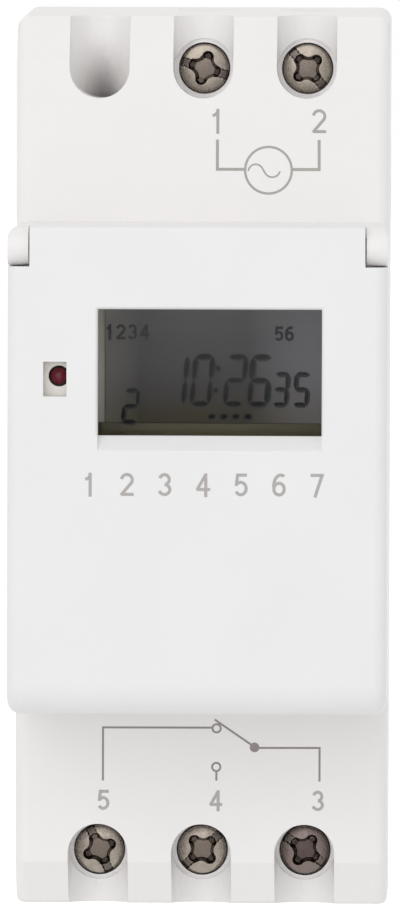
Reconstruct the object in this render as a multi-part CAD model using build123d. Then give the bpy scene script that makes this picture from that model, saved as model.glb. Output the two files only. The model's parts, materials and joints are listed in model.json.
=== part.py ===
from build123d import *
import math
import os

# A two-module weekly time switch that clips on a 35 mm rail. Millimetres.
# X runs along the rail, Z is up and the front looks along -Y.
# The origin is the middle of the seat that rests on the rail's front face.

# Driving dimensions
CASE_WIDTH = 36.0
CASE_HEIGHT = 86.0
END_LEAN = 0.9        # how far each end face leans out between its front edge and the parting line
REAR_INSET = 0.2      # how much the rear moulding is narrower on each side
REAR_Y = 5.5
PARTING_Y = -14.0
SHOULDER_Y = -39.5
PANEL_Y = -53.0
COVER_Y = -59.5
NOSE_HEIGHT = 46.4
WALL = 1.6
CORNER = 1.2
LOW_CORNER = 0.7      # the lower end's corners are sharper
FACET_HEIGHT = 4.2
FACET_DEPTH = 2.6

HALF_WIDTH = CASE_WIDTH / 2
HALF_HEIGHT = CASE_HEIGHT / 2
REAR_HALF_WIDTH = HALF_WIDTH - REAR_INSET
REAR_HALF_HEIGHT = HALF_HEIGHT + END_LEAN
HALF_NOSE = NOSE_HEIGHT / 2
INNER_X = HALF_WIDTH - WALL
INNER_Z = HALF_HEIGHT - WALL
BEYOND = 3.0          # how far a cutting tool runs past what it cuts
GAP = 0.1             # between two mouldings that meet

# Rail and its latch
RAIL_HEIGHT = 35.0
RAIL_PLAY = 0.25
GROOVE_Z = RAIL_HEIGHT / 2 + RAIL_PLAY
LIP_REACH = 1.6       # how far the fixed lip and the latch nose reach over the rail
LIP_Y = 1.25          # the rail's flange is 1 mm thick
RELIEF_DEPTH = 0.4
LATCH_TRAVEL = 3.0
LATCH_HALF_WIDTH = 6.0
LATCH_FLANGE = 1.6
LATCH_FRONT = 1.15
LATCH_REAR = 5.2
LATCH_PLAY = 0.2
LATCH_TAIL_Z = -(REAR_HALF_HEIGHT - 1.0)
LATCH_SLOT = (-41.0, -(GROOVE_Z + 1.15))
LATCH_FLANGE_Z = (LATCH_SLOT[0] + LATCH_TRAVEL + 2 * LATCH_PLAY, LATCH_SLOT[1] - LATCH_PLAY)
SPRING_RADIUS = 1.4
SPRING_WIRE = 0.35
SPRING_LOW = -35.5
SPRING_HIGH = -24.5
POST_HEIGHT = 1.4
LATCH_POCKET_REAR = 4.2

# Terminals, numbered as on the case: 1 and 2 above, 5, 4 and 3 below
PITCH = 10.0
SCREW_Z = 38.0
TERMINALS = {1: (0.0, 1), 2: (PITCH, 1), 3: (PITCH, -1), 4: (0.0, -1), 5: (-PITCH, -1)}
BLANK_PLACE = (-PITCH, 1)
SCREW_TURN = {1: -17.0, 2: -48.0, 3: -35.0, 4: 42.0, 5: -66.0}   # slot angle seen from the front
CHANNEL_RADIUS = 2.9
CHANNEL_END_Y = -34.1    # floor of each channel where it leaves the end face
# The unused channel's floor dives smoothly into a pit. Each row is (y, z, power): at height z the
# floor is at y in the middle, and rises to the sides as that power of the offset.
PIT_FLOOR = (
    (-34.3, 47.0, 3.4), (-34.1, 43.0, 3.4), (-33.9, 41.2, 3.0), (-33.3, 39.6, 2.4),
    (-31.6, 38.0, 1.9), (-28.8, 36.4, 1.6), (-25.4, 34.8, 1.5), (-22.0, 33.2, 1.5),
)
PIT_HALF_WIDTH = 4.2      # at its front, well outside the channel's walls, which cut it
PIT_FRONT = -44.0
SHELF_Y = -33.8
SEAT_Y = -32.2
HEAD_RADIUS = 2.38
HEAD_BORE_RADIUS = 2.5
HEAD_HEIGHT = 2.0
SHANK_RADIUS = 1.95
NECK_HOLE_RADIUS = 2.15
BAR_FRONT = -24.4
BAR_THICK = 1.2
BAR_WIDTH = 5.6
CAGE_WIDTH = 7.8
CAGE_LENGTH = 6.4
CAGE_SIDE = 1.0
CAGE_TOP = 1.6
CAGE_BOTTOM = 1.2
CAGE_PLAY = 0.2
WIRE_GAP = 4.6
CAGE_TRAVEL = WIRE_GAP - CAGE_PLAY
CHAMBER_WIDTH = CAGE_WIDTH + 2 * CAGE_PLAY
CHAMBER_FRONT = BAR_FRONT - CAGE_TOP - CAGE_TRAVEL - 3 * CAGE_PLAY
BOSS_Z = 33.4
ENTRY_WIDTH = 5.2
ENTRY_FLARE = 0.5

# Flip cover and its hinge
COVER_WALL = 1.4
COVER_FACE = 1.6
COVER_LOWER_RADIUS = 3.0
HINGE_Y = -57.3
HINGE_Z = 21.3
EAR_RADIUS = 1.85
EAR_WIDTH = 2.0
EAR_GAP = 0.12
PIN_RADIUS = 0.8
PIN_HOLE_RADIUS = 0.85
PIN_LENGTH = 1.6
TONGUE_WIDTH = 4.0
TONGUE_Z = -20.6
TONGUE_THICK = 0.9

# Display: what is seen through the cover's window
WINDOW = (21.2, 12.0)
WINDOW_CENTRE = (1.2, 9.35)
SILL_HEIGHT = 1.4
SILL_DEPTH = 1.1
LAMP_WINDOW = (2.2, 3.28)
LAMP_WINDOW_CENTRE = (-13.45, 8.71)
LAMP_CENTRE = (-13.12, 8.95)
LAMP_RADIUS = 0.95
LAMP_PLAY = 0.05
LAMP_DOME_Y = -56.8
LAMP_FLANGE_RADIUS = 1.15
LAMP_FLANGE = 0.6
LAMP_SEAT_Y = -54.6
LAMP_LEAD_RADIUS = 0.22
LAMP_LEAD_OFFSET = 0.6
LAMP_BOSS_FRONT = -57.7
LAMP_BOSS = ((-15.8, -11.3), (6.1, 11.6))    # x and z
GLASS_CENTRE = (1.3, 9.4)
PANEL_OPENING = (23.0, 14.4)
LENS = (24.6, 16.0, 0.8)
GLASS = (25.4, 16.6)
GLASS_FRONT = -51.1
GLASS_THICK = 2.2
FILM_THICK = 0.2
POLARISER_LEFT = -9.0
POLARISER_LOW = 4.25
FRAME_WALL = 0.6
BOARD_FRONT = -47.2
BOARD_THICK = 1.6
BOARD_SIZE = (32.0, 42.8)

# Keys, as (x, z); the last one is the small recessed reset key
KEYS = {
    "key_clock": (-12.0, -5.5), "key_program": (-4.0, -5.5), "key_manual": (4.0, -5.5),
    "key_cancel": (12.0, -5.5), "key_day": (-12.0, -14.5), "key_hour": (-4.0, -14.5),
    "key_minute": (4.0, -14.5), "key_reset": (12.0, -14.5),
}
KEY_RADIUS = 2.6
KEY_PLAY = 0.15
KEY_PROUD = 1.5
RESET_RADIUS = 1.15
RESET_PROUD = 0.3
KEY_TRAVEL = 0.6
KEY_FLANGE_RADIUS = 3.3
KEY_FLANGE = 0.6
STEM_RADIUS = 1.6
STEM_LENGTH = 2.0
SWITCH_SIZE = 6.0
SWITCH_FRONT = PANEL_Y + WALL + KEY_FLANGE + KEY_TRAVEL + 2 * GAP
SWITCH_BORE_DEPTH = 2.3

# Boards and what stands on them
BOARD_POST = (14.6, 19.9)
BOARD_POST_RADIUS = 1.4
BOARD_SCREW_RADIUS = 0.75
POWER_BOARD_FRONT = -13.6
POWER_BOARD = (29.0, 63.0)
LEG_Z = 29.9
LEG_WIDTH = 4.0
RELAY_SIZE = (27.0, 32.0, 20.0)
RELAY_Z = 6.0
RELAY_WALL = 1.0
RELAY_PIVOT = (5.0, 13.75)    # x and z of the edge that the armature rocks on
PIVOT_BEAD_RADIUS = 0.14
RELAY_AXIS = (-4.5, -23.0)    # x and y of the core, which stands along Z
YOKE_WIDTH = 10.0
CORE_RADIUS = 2.4
BOBBIN_RADIUS = 3.2
BOBBIN_Z = (-6.5, 12.8)
BOBBIN_FLANGE = 1.0
BOBBIN_FLANGE_RADIUS = 6.6
WINDING_RADIUS = 6.1
CONTACT_RADIUS = 1.5
CONTACT_PINS = ((5.45, -1.5), (9.0, -1.5))
COIL_PINS = ((-9.0, -7.0), (-3.0, -7.0))
SNAP_Z = 27.0
SNAP_WIDTH = 7.0
CHIP_PLACE = (7.0, 6.0)
CRYSTAL_X = 12.5
CELL_PLACE = (-5.5, -8.0)
CELL_RADIUS = 7.8
TAB_WIDTH = 3.0
TAB_THICK = 0.3
RIBBON_THICK = 0.9
RIBBON_WIDTH = 7.6
RIBBON_X = 7.0


def box(x, y, z):
    """A block between two places on each axis."""
    spans = [abs(b - a) for a, b in (x, y, z)]
    middle = [(a + b) / 2 for a, b in (x, y, z)]
    return Pos(*middle) * Box(*spans)


def wide(half, centre=0.0):
    """The two ends of a width about its centre."""
    return centre - half, centre + half


def rod_y(x, z, radius, y_from, y_to):
    """A round bar along Y."""
    length = abs(y_to - y_from)
    return Pos(x, (y_from + y_to) / 2, z) * Rot(X=90) * Cylinder(radius, length)


def rod_x(y, z, radius, x_from, x_to):
    """A round bar along X."""
    length = abs(x_to - x_from)
    return Pos((x_from + x_to) / 2, y, z) * Rot(Y=90) * Cylinder(radius, length)


def rod_z(x, y, radius, z_from, z_to):
    """A round bar along Z."""
    return Pos(x, y, (z_from + z_to) / 2) * Cylinder(radius, abs(z_to - z_from))


def prism_x(points, x_from, x_to):
    """An outline of (y, z) points, drawn out along X."""
    outline = make_face(Plane.YZ.offset(x_from) * Polyline(*points, close=True))
    return extrude(outline, amount=x_to - x_from, dir=(1, 0, 0))


def along(shape, axis):
    """The straight edges of a shape that run along an axis."""
    return shape.edges().filter_by(GeomType.LINE).filter_by(axis)


def near(edges, **place):
    """Those edges whose middle lies at the given x, y or z."""
    def there(edge):
        middle = edge.center()
        return all(abs(abs(getattr(middle, k.upper())) - abs(v)) < 0.01 for k, v in place.items())
    return edges.filter_by(there)


def save(node, *solids):
    """Writes one node, which is one solid or a group of like ones."""
    shape = solids[0] if len(solids) == 1 else Compound(children=list(solids))
    export_step(shape, f"parts/{node}.step")


def end_to_end(solid, side):
    """A solid made for the upper end, or the same one turned over for the lower end."""
    return solid if side > 0 else mirror(solid, about=Plane.XY)


def channel(x, floor_y):
    """What a ball-ended cutter takes away, from over the screw's place out through the end face."""
    front = SHOULDER_Y - BEYOND
    end_z = HALF_HEIGHT + BEYOND
    ball = Vector(x, floor_y - CHANNEL_RADIUS, SCREW_Z)
    mouth = Vector(x, CHANNEL_END_Y - CHANNEL_RADIUS, HALF_HEIGHT)
    slope = (mouth - ball).normalized()
    length = (end_z - SCREW_Z) / slope.Z
    trough = extrude(Plane(origin=ball, z_dir=slope) * Circle(CHANNEL_RADIUS), amount=length)
    end_y = ball.Y + slope.Y * length
    above = [(ball.Y, SCREW_Z), (end_y, end_z), (front, end_z), (front, SCREW_Z)]
    opening = prism_x(above, x - CHANNEL_RADIUS, x + CHANNEL_RADIUS)
    well = rod_y(x, SCREW_Z, CHANNEL_RADIUS, front, ball.Y)
    return trough + Pos(*ball) * Sphere(CHANNEL_RADIUS) + opening + well


def pit_section(x, y, z, power):
    """A level cut through the unused place's pit."""
    places = [step / 4 for step in range(-4, 5)]
    floor = [(x + s * PIT_HALF_WIDTH, y - (y - PIT_FRONT) * abs(s) ** power, z) for s in places]
    return make_face(Curve() + [Spline(*floor), Line(floor[-1], floor[0])])


def blank_place(x):
    """The unused place: a channel as wide as the others, with a pit that narrows as it deepens."""
    pit = loft([pit_section(x, *row) for row in PIT_FLOOR])
    outline_y = (PIT_FRONT - GAP, PIT_FLOOR[-1][0])
    outline = rod_y(x, SCREW_Z, CHANNEL_RADIUS, *outline_y)
    outline += box(wide(CHANNEL_RADIUS, x), outline_y, (SCREW_Z, HALF_HEIGHT + BEYOND))
    return pit & outline


def pit_backing(x):
    """The plastic behind the unused place's pit, with a back that is parallel to the pit's floor."""
    y, z = (CHAMBER_FRONT - GAP, PIT_FLOOR[-2][0] + WALL), (BOSS_Z - 0.6, SCREW_Z - 2.0)
    outline = [(y[0], z[0]), (y[1], z[0]), (y[1], z[1]), (y[0], INNER_Z - 0.4)]
    half = CHANNEL_RADIUS + 1.4
    return prism_x(outline, x - half, x + half)


def screw_well(x):
    """The well over a terminal screw: its channel, a shelf round the head, and the bore down to the seat."""
    shelf = rod_y(x, SCREW_Z, CHANNEL_RADIUS, SHOULDER_Y - BEYOND, SHELF_Y)
    bore = rod_y(x, SCREW_Z, HEAD_BORE_RADIUS, SHELF_Y - GAP, SEAT_Y)
    neck = rod_y(x, SCREW_Z, NECK_HOLE_RADIUS, SEAT_Y - GAP, CHAMBER_FRONT + GAP)
    return channel(x, SHELF_Y) + shelf + bore + neck


def shoulder_block():
    """The outside of the front moulding's terminal shoulders, with a facet at each end."""
    facet_z = HALF_HEIGHT - FACET_HEIGHT
    facet_y = SHOULDER_Y + FACET_DEPTH
    upper = [(PARTING_Y, REAR_HALF_HEIGHT), (facet_y, HALF_HEIGHT), (SHOULDER_Y, facet_z)]
    lower = [(y, -z) for y, z in reversed(upper)]
    solid = prism_x(upper + lower, -HALF_WIDTH, HALF_WIDTH)
    outer = near(solid.edges(), x=HALF_WIDTH).filter_by(lambda e: e.center().Y < PARTING_Y - 0.01)
    solid = fillet(outer.filter_by(lambda e: not at_lower_end(e)), CORNER)
    return fillet(solid.edges().filter_by(at_lower_end), LOW_CORNER)


def at_lower_end(edge):
    """Whether an edge runs back along a side of the lower end face."""
    middle = edge.center()
    on_side = abs(abs(middle.X) - HALF_WIDTH) < 0.01
    return on_side and middle.Z < -HALF_HEIGHT and PARTING_Y + 0.01 > middle.Y > SHOULDER_Y


def nose_block(y):
    """The raised nose's outline with rounded corners, between two depths."""
    block = box(wide(HALF_WIDTH), y, wide(HALF_NOSE))
    return fillet(along(block, Axis.Y), CORNER)


def ear(side):
    """One hinge ear at a top corner of the nose, with its blind pin hole."""
    outer, inner = side * HALF_WIDTH, side * (HALF_WIDTH - EAR_WIDTH)
    x = (min(outer, inner), max(outer, inner))
    knuckle = rod_x(HINGE_Y, HINGE_Z, EAR_RADIUS, *x)
    web = box(x, (HINGE_Y, PANEL_Y + WALL), wide(EAR_RADIUS, HINGE_Z))
    hole = rod_x(HINGE_Y, HINGE_Z, PIN_HOLE_RADIUS, inner - side * GAP, inner + side * (PIN_LENGTH - 0.05))
    return ((knuckle + web) & nose_block((COVER_Y, PARTING_Y))) - hole


def lamp_boss():
    """The boss that holds the lamp close behind its window in the cover."""
    x, z = LAMP_BOSS
    return fillet(along(box(x, (LAMP_BOSS_FRONT, PANEL_Y + GAP), z), Axis.Y), 0.6)


def display_openings():
    """What is cut through the panel for the lens, the lamp, the keys and the cover's tongue."""
    cx, cz = GLASS_CENTRE
    through = (PANEL_Y - BEYOND, PANEL_Y + WALL + BEYOND)
    tools = [box(wide(PANEL_OPENING[0] / 2, cx), through, wide(PANEL_OPENING[1] / 2, cz))]
    recess = (PANEL_Y - BEYOND, PANEL_Y + LENS[2])
    tools.append(box(wide(LENS[0] / 2 + GAP, cx), recess, wide(LENS[1] / 2 + GAP, cz)))
    tools.append(rod_y(*LAMP_CENTRE, LAMP_RADIUS + LAMP_PLAY, LAMP_BOSS_FRONT - BEYOND, through[1]))
    tools.append(rod_y(*LAMP_CENTRE, LAMP_FLANGE_RADIUS + LAMP_PLAY, LAMP_SEAT_Y, through[1]))
    for node, (x, z) in KEYS.items():
        radius = RESET_RADIUS if node == "key_reset" else KEY_RADIUS
        tools.append(rod_y(x, z, radius + KEY_PLAY, *through))
    tongue_z = (TONGUE_Z - TONGUE_THICK / 2 - 0.45, TONGUE_Z + TONGUE_THICK / 2 + 0.25)
    tools.append(box(wide(TONGUE_WIDTH / 2 + 0.3), through, tongue_z))
    return tools


def board_posts():
    """Posts behind the panel that carry the display board, with pilot holes for its screws."""
    x, z = BOARD_POST
    posts = []
    for sx in (-1, 1):
        for sz in (-1, 1):
            post = rod_y(sx * x, sz * z, BOARD_POST_RADIUS, PANEL_Y + WALL - GAP, BOARD_FRONT - 0.01)
            pilot = rod_y(sx * x, sz * z, BOARD_SCREW_RADIUS + 0.03, BOARD_FRONT - 3.5, BOARD_FRONT + 1.0)
            posts.append((post, pilot))
    return posts


def terminal_ribs(side):
    """The walls that part the clamp cages from each other, in the front moulding."""
    half = CHAMBER_WIDTH / 2
    y = (CHAMBER_FRONT - GAP, PARTING_Y - GAP)
    z = (BOSS_Z, INNER_Z + GAP)
    ribs = [box((sx * half, sx * (PITCH - half)), y, z) for sx in (-1, 1)]
    ribs += [box((sx * (PITCH + half), sx * (PITCH + half + 1.0)), y, z) for sx in (-1, 1)]
    return [end_to_end(rib, side) for rib in ribs]


def front_housing():
    """The front moulding: two terminal shoulders and the raised nose with its panel."""
    nose = nose_block((PANEL_Y, PARTING_Y))
    nose = chamfer(nose.faces().sort_by(Axis.Y)[0].edges(), 0.2)
    outside = shoulder_block()
    solid = outside + nose
    solid -= box(wide(INNER_X), (SHOULDER_Y + WALL, PARTING_Y + BEYOND), wide(INNER_Z))
    solid -= box(wide(INNER_X), (PANEL_Y + WALL, SHOULDER_Y + BEYOND), wide(HALF_NOSE - WALL))
    for side in (-1, 1):
        boss = box(wide(INNER_X + GAP), (SHOULDER_Y + GAP, CHAMBER_FRONT), (BOSS_Z, INNER_Z + GAP))
        solid += end_to_end(boss, side) & outside
        for rib in terminal_ribs(side):
            solid += rib
        solid += ear(side)
    blank_x, blank_side = BLANK_PLACE
    solid += end_to_end(pit_backing(blank_x), blank_side)
    solid -= end_to_end(blank_place(blank_x), blank_side)
    for x, side in TERMINALS.values():
        solid -= end_to_end(screw_well(x), side)
        solid -= end_to_end(wire_entry(x), side)
    solid += lamp_boss()
    for tool in display_openings():
        solid -= tool
    for post, pilot in board_posts():
        solid = solid + post - pilot
    for sx in (-1, 1):
        for sz in (-1, 1):
            window_x = sorted((sx * (INNER_X - 0.5), sx * (HALF_WIDTH + BEYOND)))
            solid -= box(window_x, (-19.8, -17.2), wide(SNAP_WIDTH / 2 + 0.2, sz * SNAP_Z))
    notch_z = (-HALF_NOSE - BEYOND, -HALF_NOSE + 0.8)
    return solid - box(wide(5.0), (PANEL_Y - BEYOND, PANEL_Y + 2.6), notch_z)


def wire_entry(x):
    """The flared hole in the end wall that a wire goes in by."""
    low, high = wire_space()
    middle = (low + high) / 2
    depth = high - low + 0.2
    hole = box(wide(ENTRY_WIDTH / 2, x), wide(depth / 2, middle), (INNER_Z - GAP, HALF_HEIGHT + BEYOND))
    inner = Plane(origin=(x, middle, REAR_HALF_HEIGHT - ENTRY_FLARE)) * Rectangle(ENTRY_WIDTH, depth)
    outer_size = (ENTRY_WIDTH + 2 * ENTRY_FLARE, depth + 2 * ENTRY_FLARE)
    outer = Plane(origin=(x, middle, REAR_HALF_HEIGHT)) * Rectangle(*outer_size)
    return hole + loft([inner.face(), outer.face()])


def wire_space():
    """The front and rear of the gap that a wire lies in while its cage is open."""
    front = BAR_FRONT + BAR_THICK
    return front, front + WIRE_GAP


def rear_shell():
    """The outside of the rear moulding, with the groove that takes the rail."""
    shell = box(wide(REAR_HALF_WIDTH), (PARTING_Y, REAR_Y), wide(REAR_HALF_HEIGHT))
    corners = along(shell, Axis.Y).sort_by(Axis.Z)
    shell = fillet(corners[2:], CORNER)
    shell = fillet(along(shell, Axis.Y).sort_by(Axis.Z)[:2], LOW_CORNER)
    shell = fillet(shell.faces().sort_by(Axis.Y)[-1].edges(), 0.6)
    shell -= box(wide(HALF_WIDTH + BEYOND), (0, REAR_Y + BEYOND), wide(GROOVE_Z))
    for side in (-1, 1):
        relief_z = sorted((side * (GROOVE_Z - LIP_REACH - 0.2), side * GROOVE_Z))
        shell -= box(wide(HALF_WIDTH + BEYOND), (-RELIEF_DEPTH, GAP), relief_z)
    return shell


def fixed_lip():
    """The bevelled lip over the rail's upper edge."""
    tip = GROOVE_Z - LIP_REACH + 0.1
    points = [(LIP_Y, GROOVE_Z + GAP), (LIP_Y, tip + 0.3), (LIP_Y + 0.6, tip), (4.4, GROOVE_Z + GAP)]
    return prism_x(points, -13.0, 13.0)


def snap_tongue(sx, sz):
    """A side tongue on the rear moulding, whose nose shows in a window of the front one."""
    outer = INNER_X - 0.15
    z = wide(SNAP_WIDTH / 2, sz * SNAP_Z)
    root = box(sorted((sx * 14.9, sx * (INNER_X + GAP))), (PARTING_Y + 0.2, -6.0), z)
    blade = box(sorted((sx * 14.9, sx * outer)), (-20.5, PARTING_Y + 0.3), z)
    nose_points = [(-19.6, sx * outer), (-17.4, sx * outer), (-17.4, sx * 17.5), (-18.2, sx * 17.5)]
    outline = make_face(Plane.XY.offset(z[0]) * Polyline(*[(x, y) for y, x in nose_points], close=True))
    nose = extrude(outline, amount=SNAP_WIDTH, dir=(0, 0, 1))
    return root + blade + nose


def rear_housing():
    """The rear moulding: rail groove, latch channel, snap tongues and board posts."""
    solid = rear_shell() + fixed_lip()
    solid -= box(wide(INNER_X), (PARTING_Y - BEYOND, -WALL), wide(INNER_Z))
    solid -= box(wide(INNER_X), (-WALL - GAP, REAR_Y - WALL), (GROOVE_Z + WALL, INNER_Z))
    solid -= box(wide(LATCH_HALF_WIDTH + LATCH_FLANGE + LATCH_PLAY), (1.0, 2.75), LATCH_SLOT)
    channel_z = (-REAR_HALF_HEIGHT - BEYOND, -GROOVE_Z + GAP)
    solid -= box(wide(LATCH_HALF_WIDTH + LATCH_PLAY), (1.0, REAR_Y + BEYOND), channel_z)
    solid += box(wide(1.2), (1.0 - GAP, 3.8), (SPRING_LOW - POST_HEIGHT, SPRING_LOW))
    for sx in (-1, 1):
        for sz in (-1, 1):
            solid += snap_tongue(sx, sz)
            solid += rod_y(sx * 12.4, sz * 15.0, 2.0, POWER_BOARD_FRONT + BOARD_THICK, -WALL + GAP)
    return solid


def rail_latch():
    """The sprung slide that hooks under the rail's lower edge."""
    nose_z = -GROOVE_Z + LIP_REACH
    points = [
        (LATCH_FRONT, nose_z - 0.3), (LATCH_FRONT + 0.5, nose_z), (LATCH_REAR, nose_z - 3.2),
        (LATCH_REAR, LATCH_TAIL_Z), (LATCH_FRONT, LATCH_TAIL_Z),
    ]
    solid = prism_x(points, -LATCH_HALF_WIDTH, LATCH_HALF_WIDTH)
    solid = fillet(near(along(solid, Axis.Z), y=LATCH_REAR), 0.4)
    solid += box(wide(LATCH_HALF_WIDTH + LATCH_FLANGE), (LATCH_FRONT, 2.6), LATCH_FLANGE_Z)
    pocket_z = (SPRING_LOW - POST_HEIGHT - 0.3, SPRING_HIGH)
    solid -= box(wide(1.75), (LATCH_FRONT - GAP, LATCH_POCKET_REAR), pocket_z)
    solid -= box(wide(2.4), (3.4, LATCH_REAR + BEYOND), (-40.9, -39.3))
    for place in (-22.4, -24.0, -25.6):
        solid -= box(wide(4.2), (LATCH_REAR - 0.45, LATCH_REAR + BEYOND), wide(0.35, place))
    return solid


def latch_spring():
    """The space of the latch's compression spring, as a plain sleeve."""
    y = (LATCH_FRONT + LATCH_POCKET_REAR) / 2
    ends = (SPRING_LOW + 0.05, SPRING_HIGH - 0.05)
    return rod_z(0, y, SPRING_RADIUS, *ends) - rod_z(0, y, SPRING_RADIUS - SPRING_WIRE, *ends)


def cover_shell():
    """The flip cover's outside, hollowed from behind."""
    rear = PANEL_Y - GAP
    shell = box(wide(HALF_WIDTH), (COVER_Y, rear), wide(HALF_NOSE))
    shell = fillet(near(along(shell, Axis.X), y=COVER_Y).sort_by(Axis.Z)[0], COVER_LOWER_RADIUS)
    side_edges = [
        e for e in shell.edges()
        if abs(abs(e.center().X) - HALF_WIDTH) < 0.01
        and e.center().Y < rear - 0.01 and e.center().Z < HALF_NOSE - 0.01
    ]
    shell = fillet(side_edges, CORNER)
    shell = fillet(near(along(shell, Axis.X), y=COVER_Y, z=HALF_NOSE), 0.45)
    inner_x = HALF_WIDTH - COVER_WALL
    inner_z = HALF_NOSE - COVER_WALL
    shell -= box(wide(inner_x), (COVER_Y + COVER_FACE, rear + BEYOND), wide(inner_z))
    return shell - box(wide(HALF_WIDTH), (PANEL_Y - 1.4, rear + BEYOND), (inner_z - GAP, HALF_NOSE + BEYOND))


def window_tool():
    """The display window, with a sloping sill below and a small bevel on its other edges."""
    cx, cz = WINDOW_CENTRE
    half_x, half_z = WINDOW[0] / 2, WINDOW[1] / 2
    front = COVER_Y - BEYOND
    tool = box(wide(half_x, cx), (front, COVER_Y + COVER_FACE + GAP), wide(half_z, cz))
    low = cz - half_z
    sill = [(COVER_Y + SILL_DEPTH, low + GAP), (COVER_Y + SILL_DEPTH, low), (COVER_Y, low - SILL_HEIGHT),
            (front, low - SILL_HEIGHT), (front, low + GAP)]
    tool += prism_x(sill, cx - half_x, cx + half_x)
    bevel = 0.2
    high = (bevel + half_z) - (GAP - half_z)
    inner = Plane(origin=(cx, COVER_Y + bevel, cz), x_dir=(1, 0, 0), z_dir=(0, -1, 0)) * Rectangle(*WINDOW)
    wider = (WINDOW[0] + 2 * bevel, high)
    outer_centre = (cx, COVER_Y, low + GAP + high / 2)
    outer = Plane(origin=outer_centre, x_dir=(1, 0, 0), z_dir=(0, -1, 0)) * Rectangle(*wider)
    return tool + loft([inner.face(), outer.face()])


def flip_cover():
    """The hinged cover: shell, hinge lugs with stub pins, closing tongue and two windows."""
    solid = cover_shell()
    middle_x = HALF_WIDTH - EAR_WIDTH - EAR_GAP
    notch_z = HINGE_Z - EAR_RADIUS - GAP
    inner_y = COVER_Y + COVER_FACE
    for side in (-1, 1):
        cut_x = sorted((side * middle_x, side * (HALF_WIDTH + BEYOND)))
        solid -= box(cut_x, (COVER_Y - BEYOND, PANEL_Y + BEYOND), (notch_z, HALF_NOSE + BEYOND))
        lug_x = sorted((side * (middle_x - COVER_WALL), side * middle_x))
        lug = rod_x(HINGE_Y, HINGE_Z, EAR_RADIUS - GAP, *lug_x)
        lug += box(lug_x, (inner_y - GAP, HINGE_Y), wide(EAR_RADIUS - GAP, HINGE_Z))
        pin_end = side * (middle_x + EAR_GAP + PIN_LENGTH - 0.2)
        solid += lug + rod_x(HINGE_Y, HINGE_Z, PIN_RADIUS, side * (middle_x - GAP), pin_end)
    tongue_y = (inner_y - GAP, PANEL_Y + 1.2)
    tongue = box(wide(TONGUE_WIDTH / 2), tongue_y, wide(TONGUE_THICK / 2, TONGUE_Z))
    root_z = (-HALF_NOSE + COVER_WALL - GAP, TONGUE_Z)
    tongue += box(wide(TONGUE_WIDTH / 2), (inner_y - GAP, inner_y + 1.2), root_z)
    solid += tongue
    lamp_x, lamp_z = LAMP_WINDOW_CENTRE
    through = (COVER_Y - BEYOND, inner_y + BEYOND)
    lamp = box(wide(LAMP_WINDOW[0] / 2, lamp_x), through, wide(LAMP_WINDOW[1] / 2, lamp_z))
    return solid - window_tool() - lamp


def plate(size, centre, front, thick):
    """A flat plate that faces the front."""
    return box(wide(size[0] / 2, centre[0]), (front, front + thick), wide(size[1] / 2, centre[1]))


def display_parts():
    """The lens and the layers of the display, front to back."""
    cx, cz = GLASS_CENTRE
    save("display_lens", plate(LENS[:2], GLASS_CENTRE, PANEL_Y, LENS[2]))
    film_x = (POLARISER_LEFT, cx + GLASS[0] / 2 - 0.3)
    film_z = (POLARISER_LOW, cz + GLASS[1] / 2 - 0.3)
    save("display_polariser", box(film_x, (GLASS_FRONT - FILM_THICK, GLASS_FRONT), film_z))
    save("display_glass", plate(GLASS, GLASS_CENTRE, GLASS_FRONT, GLASS_THICK))
    glass_rear = GLASS_FRONT + GLASS_THICK
    film = (GLASS[0] - 0.6, GLASS[1] - 4.6)
    save("display_reflector", plate(film, GLASS_CENTRE, glass_rear, FILM_THICK))
    frame_size = (GLASS[0] + 2 * FRAME_WALL, GLASS[1] + 2 * FRAME_WALL)
    frame_front = GLASS_FRONT - FILM_THICK
    opening = (GLASS[0] + 0.1, GLASS[1] + 0.1)
    frame = plate(frame_size, GLASS_CENTRE, frame_front, BOARD_FRONT - frame_front)
    frame -= plate(opening, GLASS_CENTRE, frame_front - GAP, BOARD_FRONT - frame_front + 2 * GAP)
    save("display_frame", frame)
    strip_offset = GLASS[1] / 2 - 1.1
    strips = []
    for side in (-1, 1):
        centre = (cx, cz + side * strip_offset)
        strips.append(plate((GLASS[0] - 2.0, 1.6), centre, glass_rear, BOARD_FRONT - glass_rear))
    save("contact_strips", *strips)


def display_board():
    """The board behind the panel, with holes for its screws and the lamp's leads."""
    board = plate(BOARD_SIZE, (0, 0), BOARD_FRONT, BOARD_THICK)
    x, z = BOARD_POST
    through = (BOARD_FRONT - 1.0, BOARD_FRONT + BOARD_THICK + 1.0)
    for sx in (-1, 1):
        for sz in (-1, 1):
            board -= rod_y(sx * x, sz * z, BOARD_SCREW_RADIUS + 0.15, *through)
    for side in (-1, 1):
        board -= rod_y(LAMP_CENTRE[0], LAMP_CENTRE[1] + side * LAMP_LEAD_OFFSET, 0.3, *through)
    return board


def board_screws():
    """The four self-tapping screws that hold the display board."""
    x, z = BOARD_POST
    rear = BOARD_FRONT + BOARD_THICK
    screws = []
    for sx in (-1, 1):
        for sz in (-1, 1):
            head = rod_y(sx * x, sz * z, 1.35, rear, rear + 0.9)
            shank = rod_y(sx * x, sz * z, BOARD_SCREW_RADIUS, BOARD_FRONT - 3.2, rear + GAP)
            slot = box(wide(1.1, sx * x), (rear + 0.5, rear + 1.0), wide(0.18, sz * z))
            screws.append(head + shank - slot)
    return screws


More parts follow.
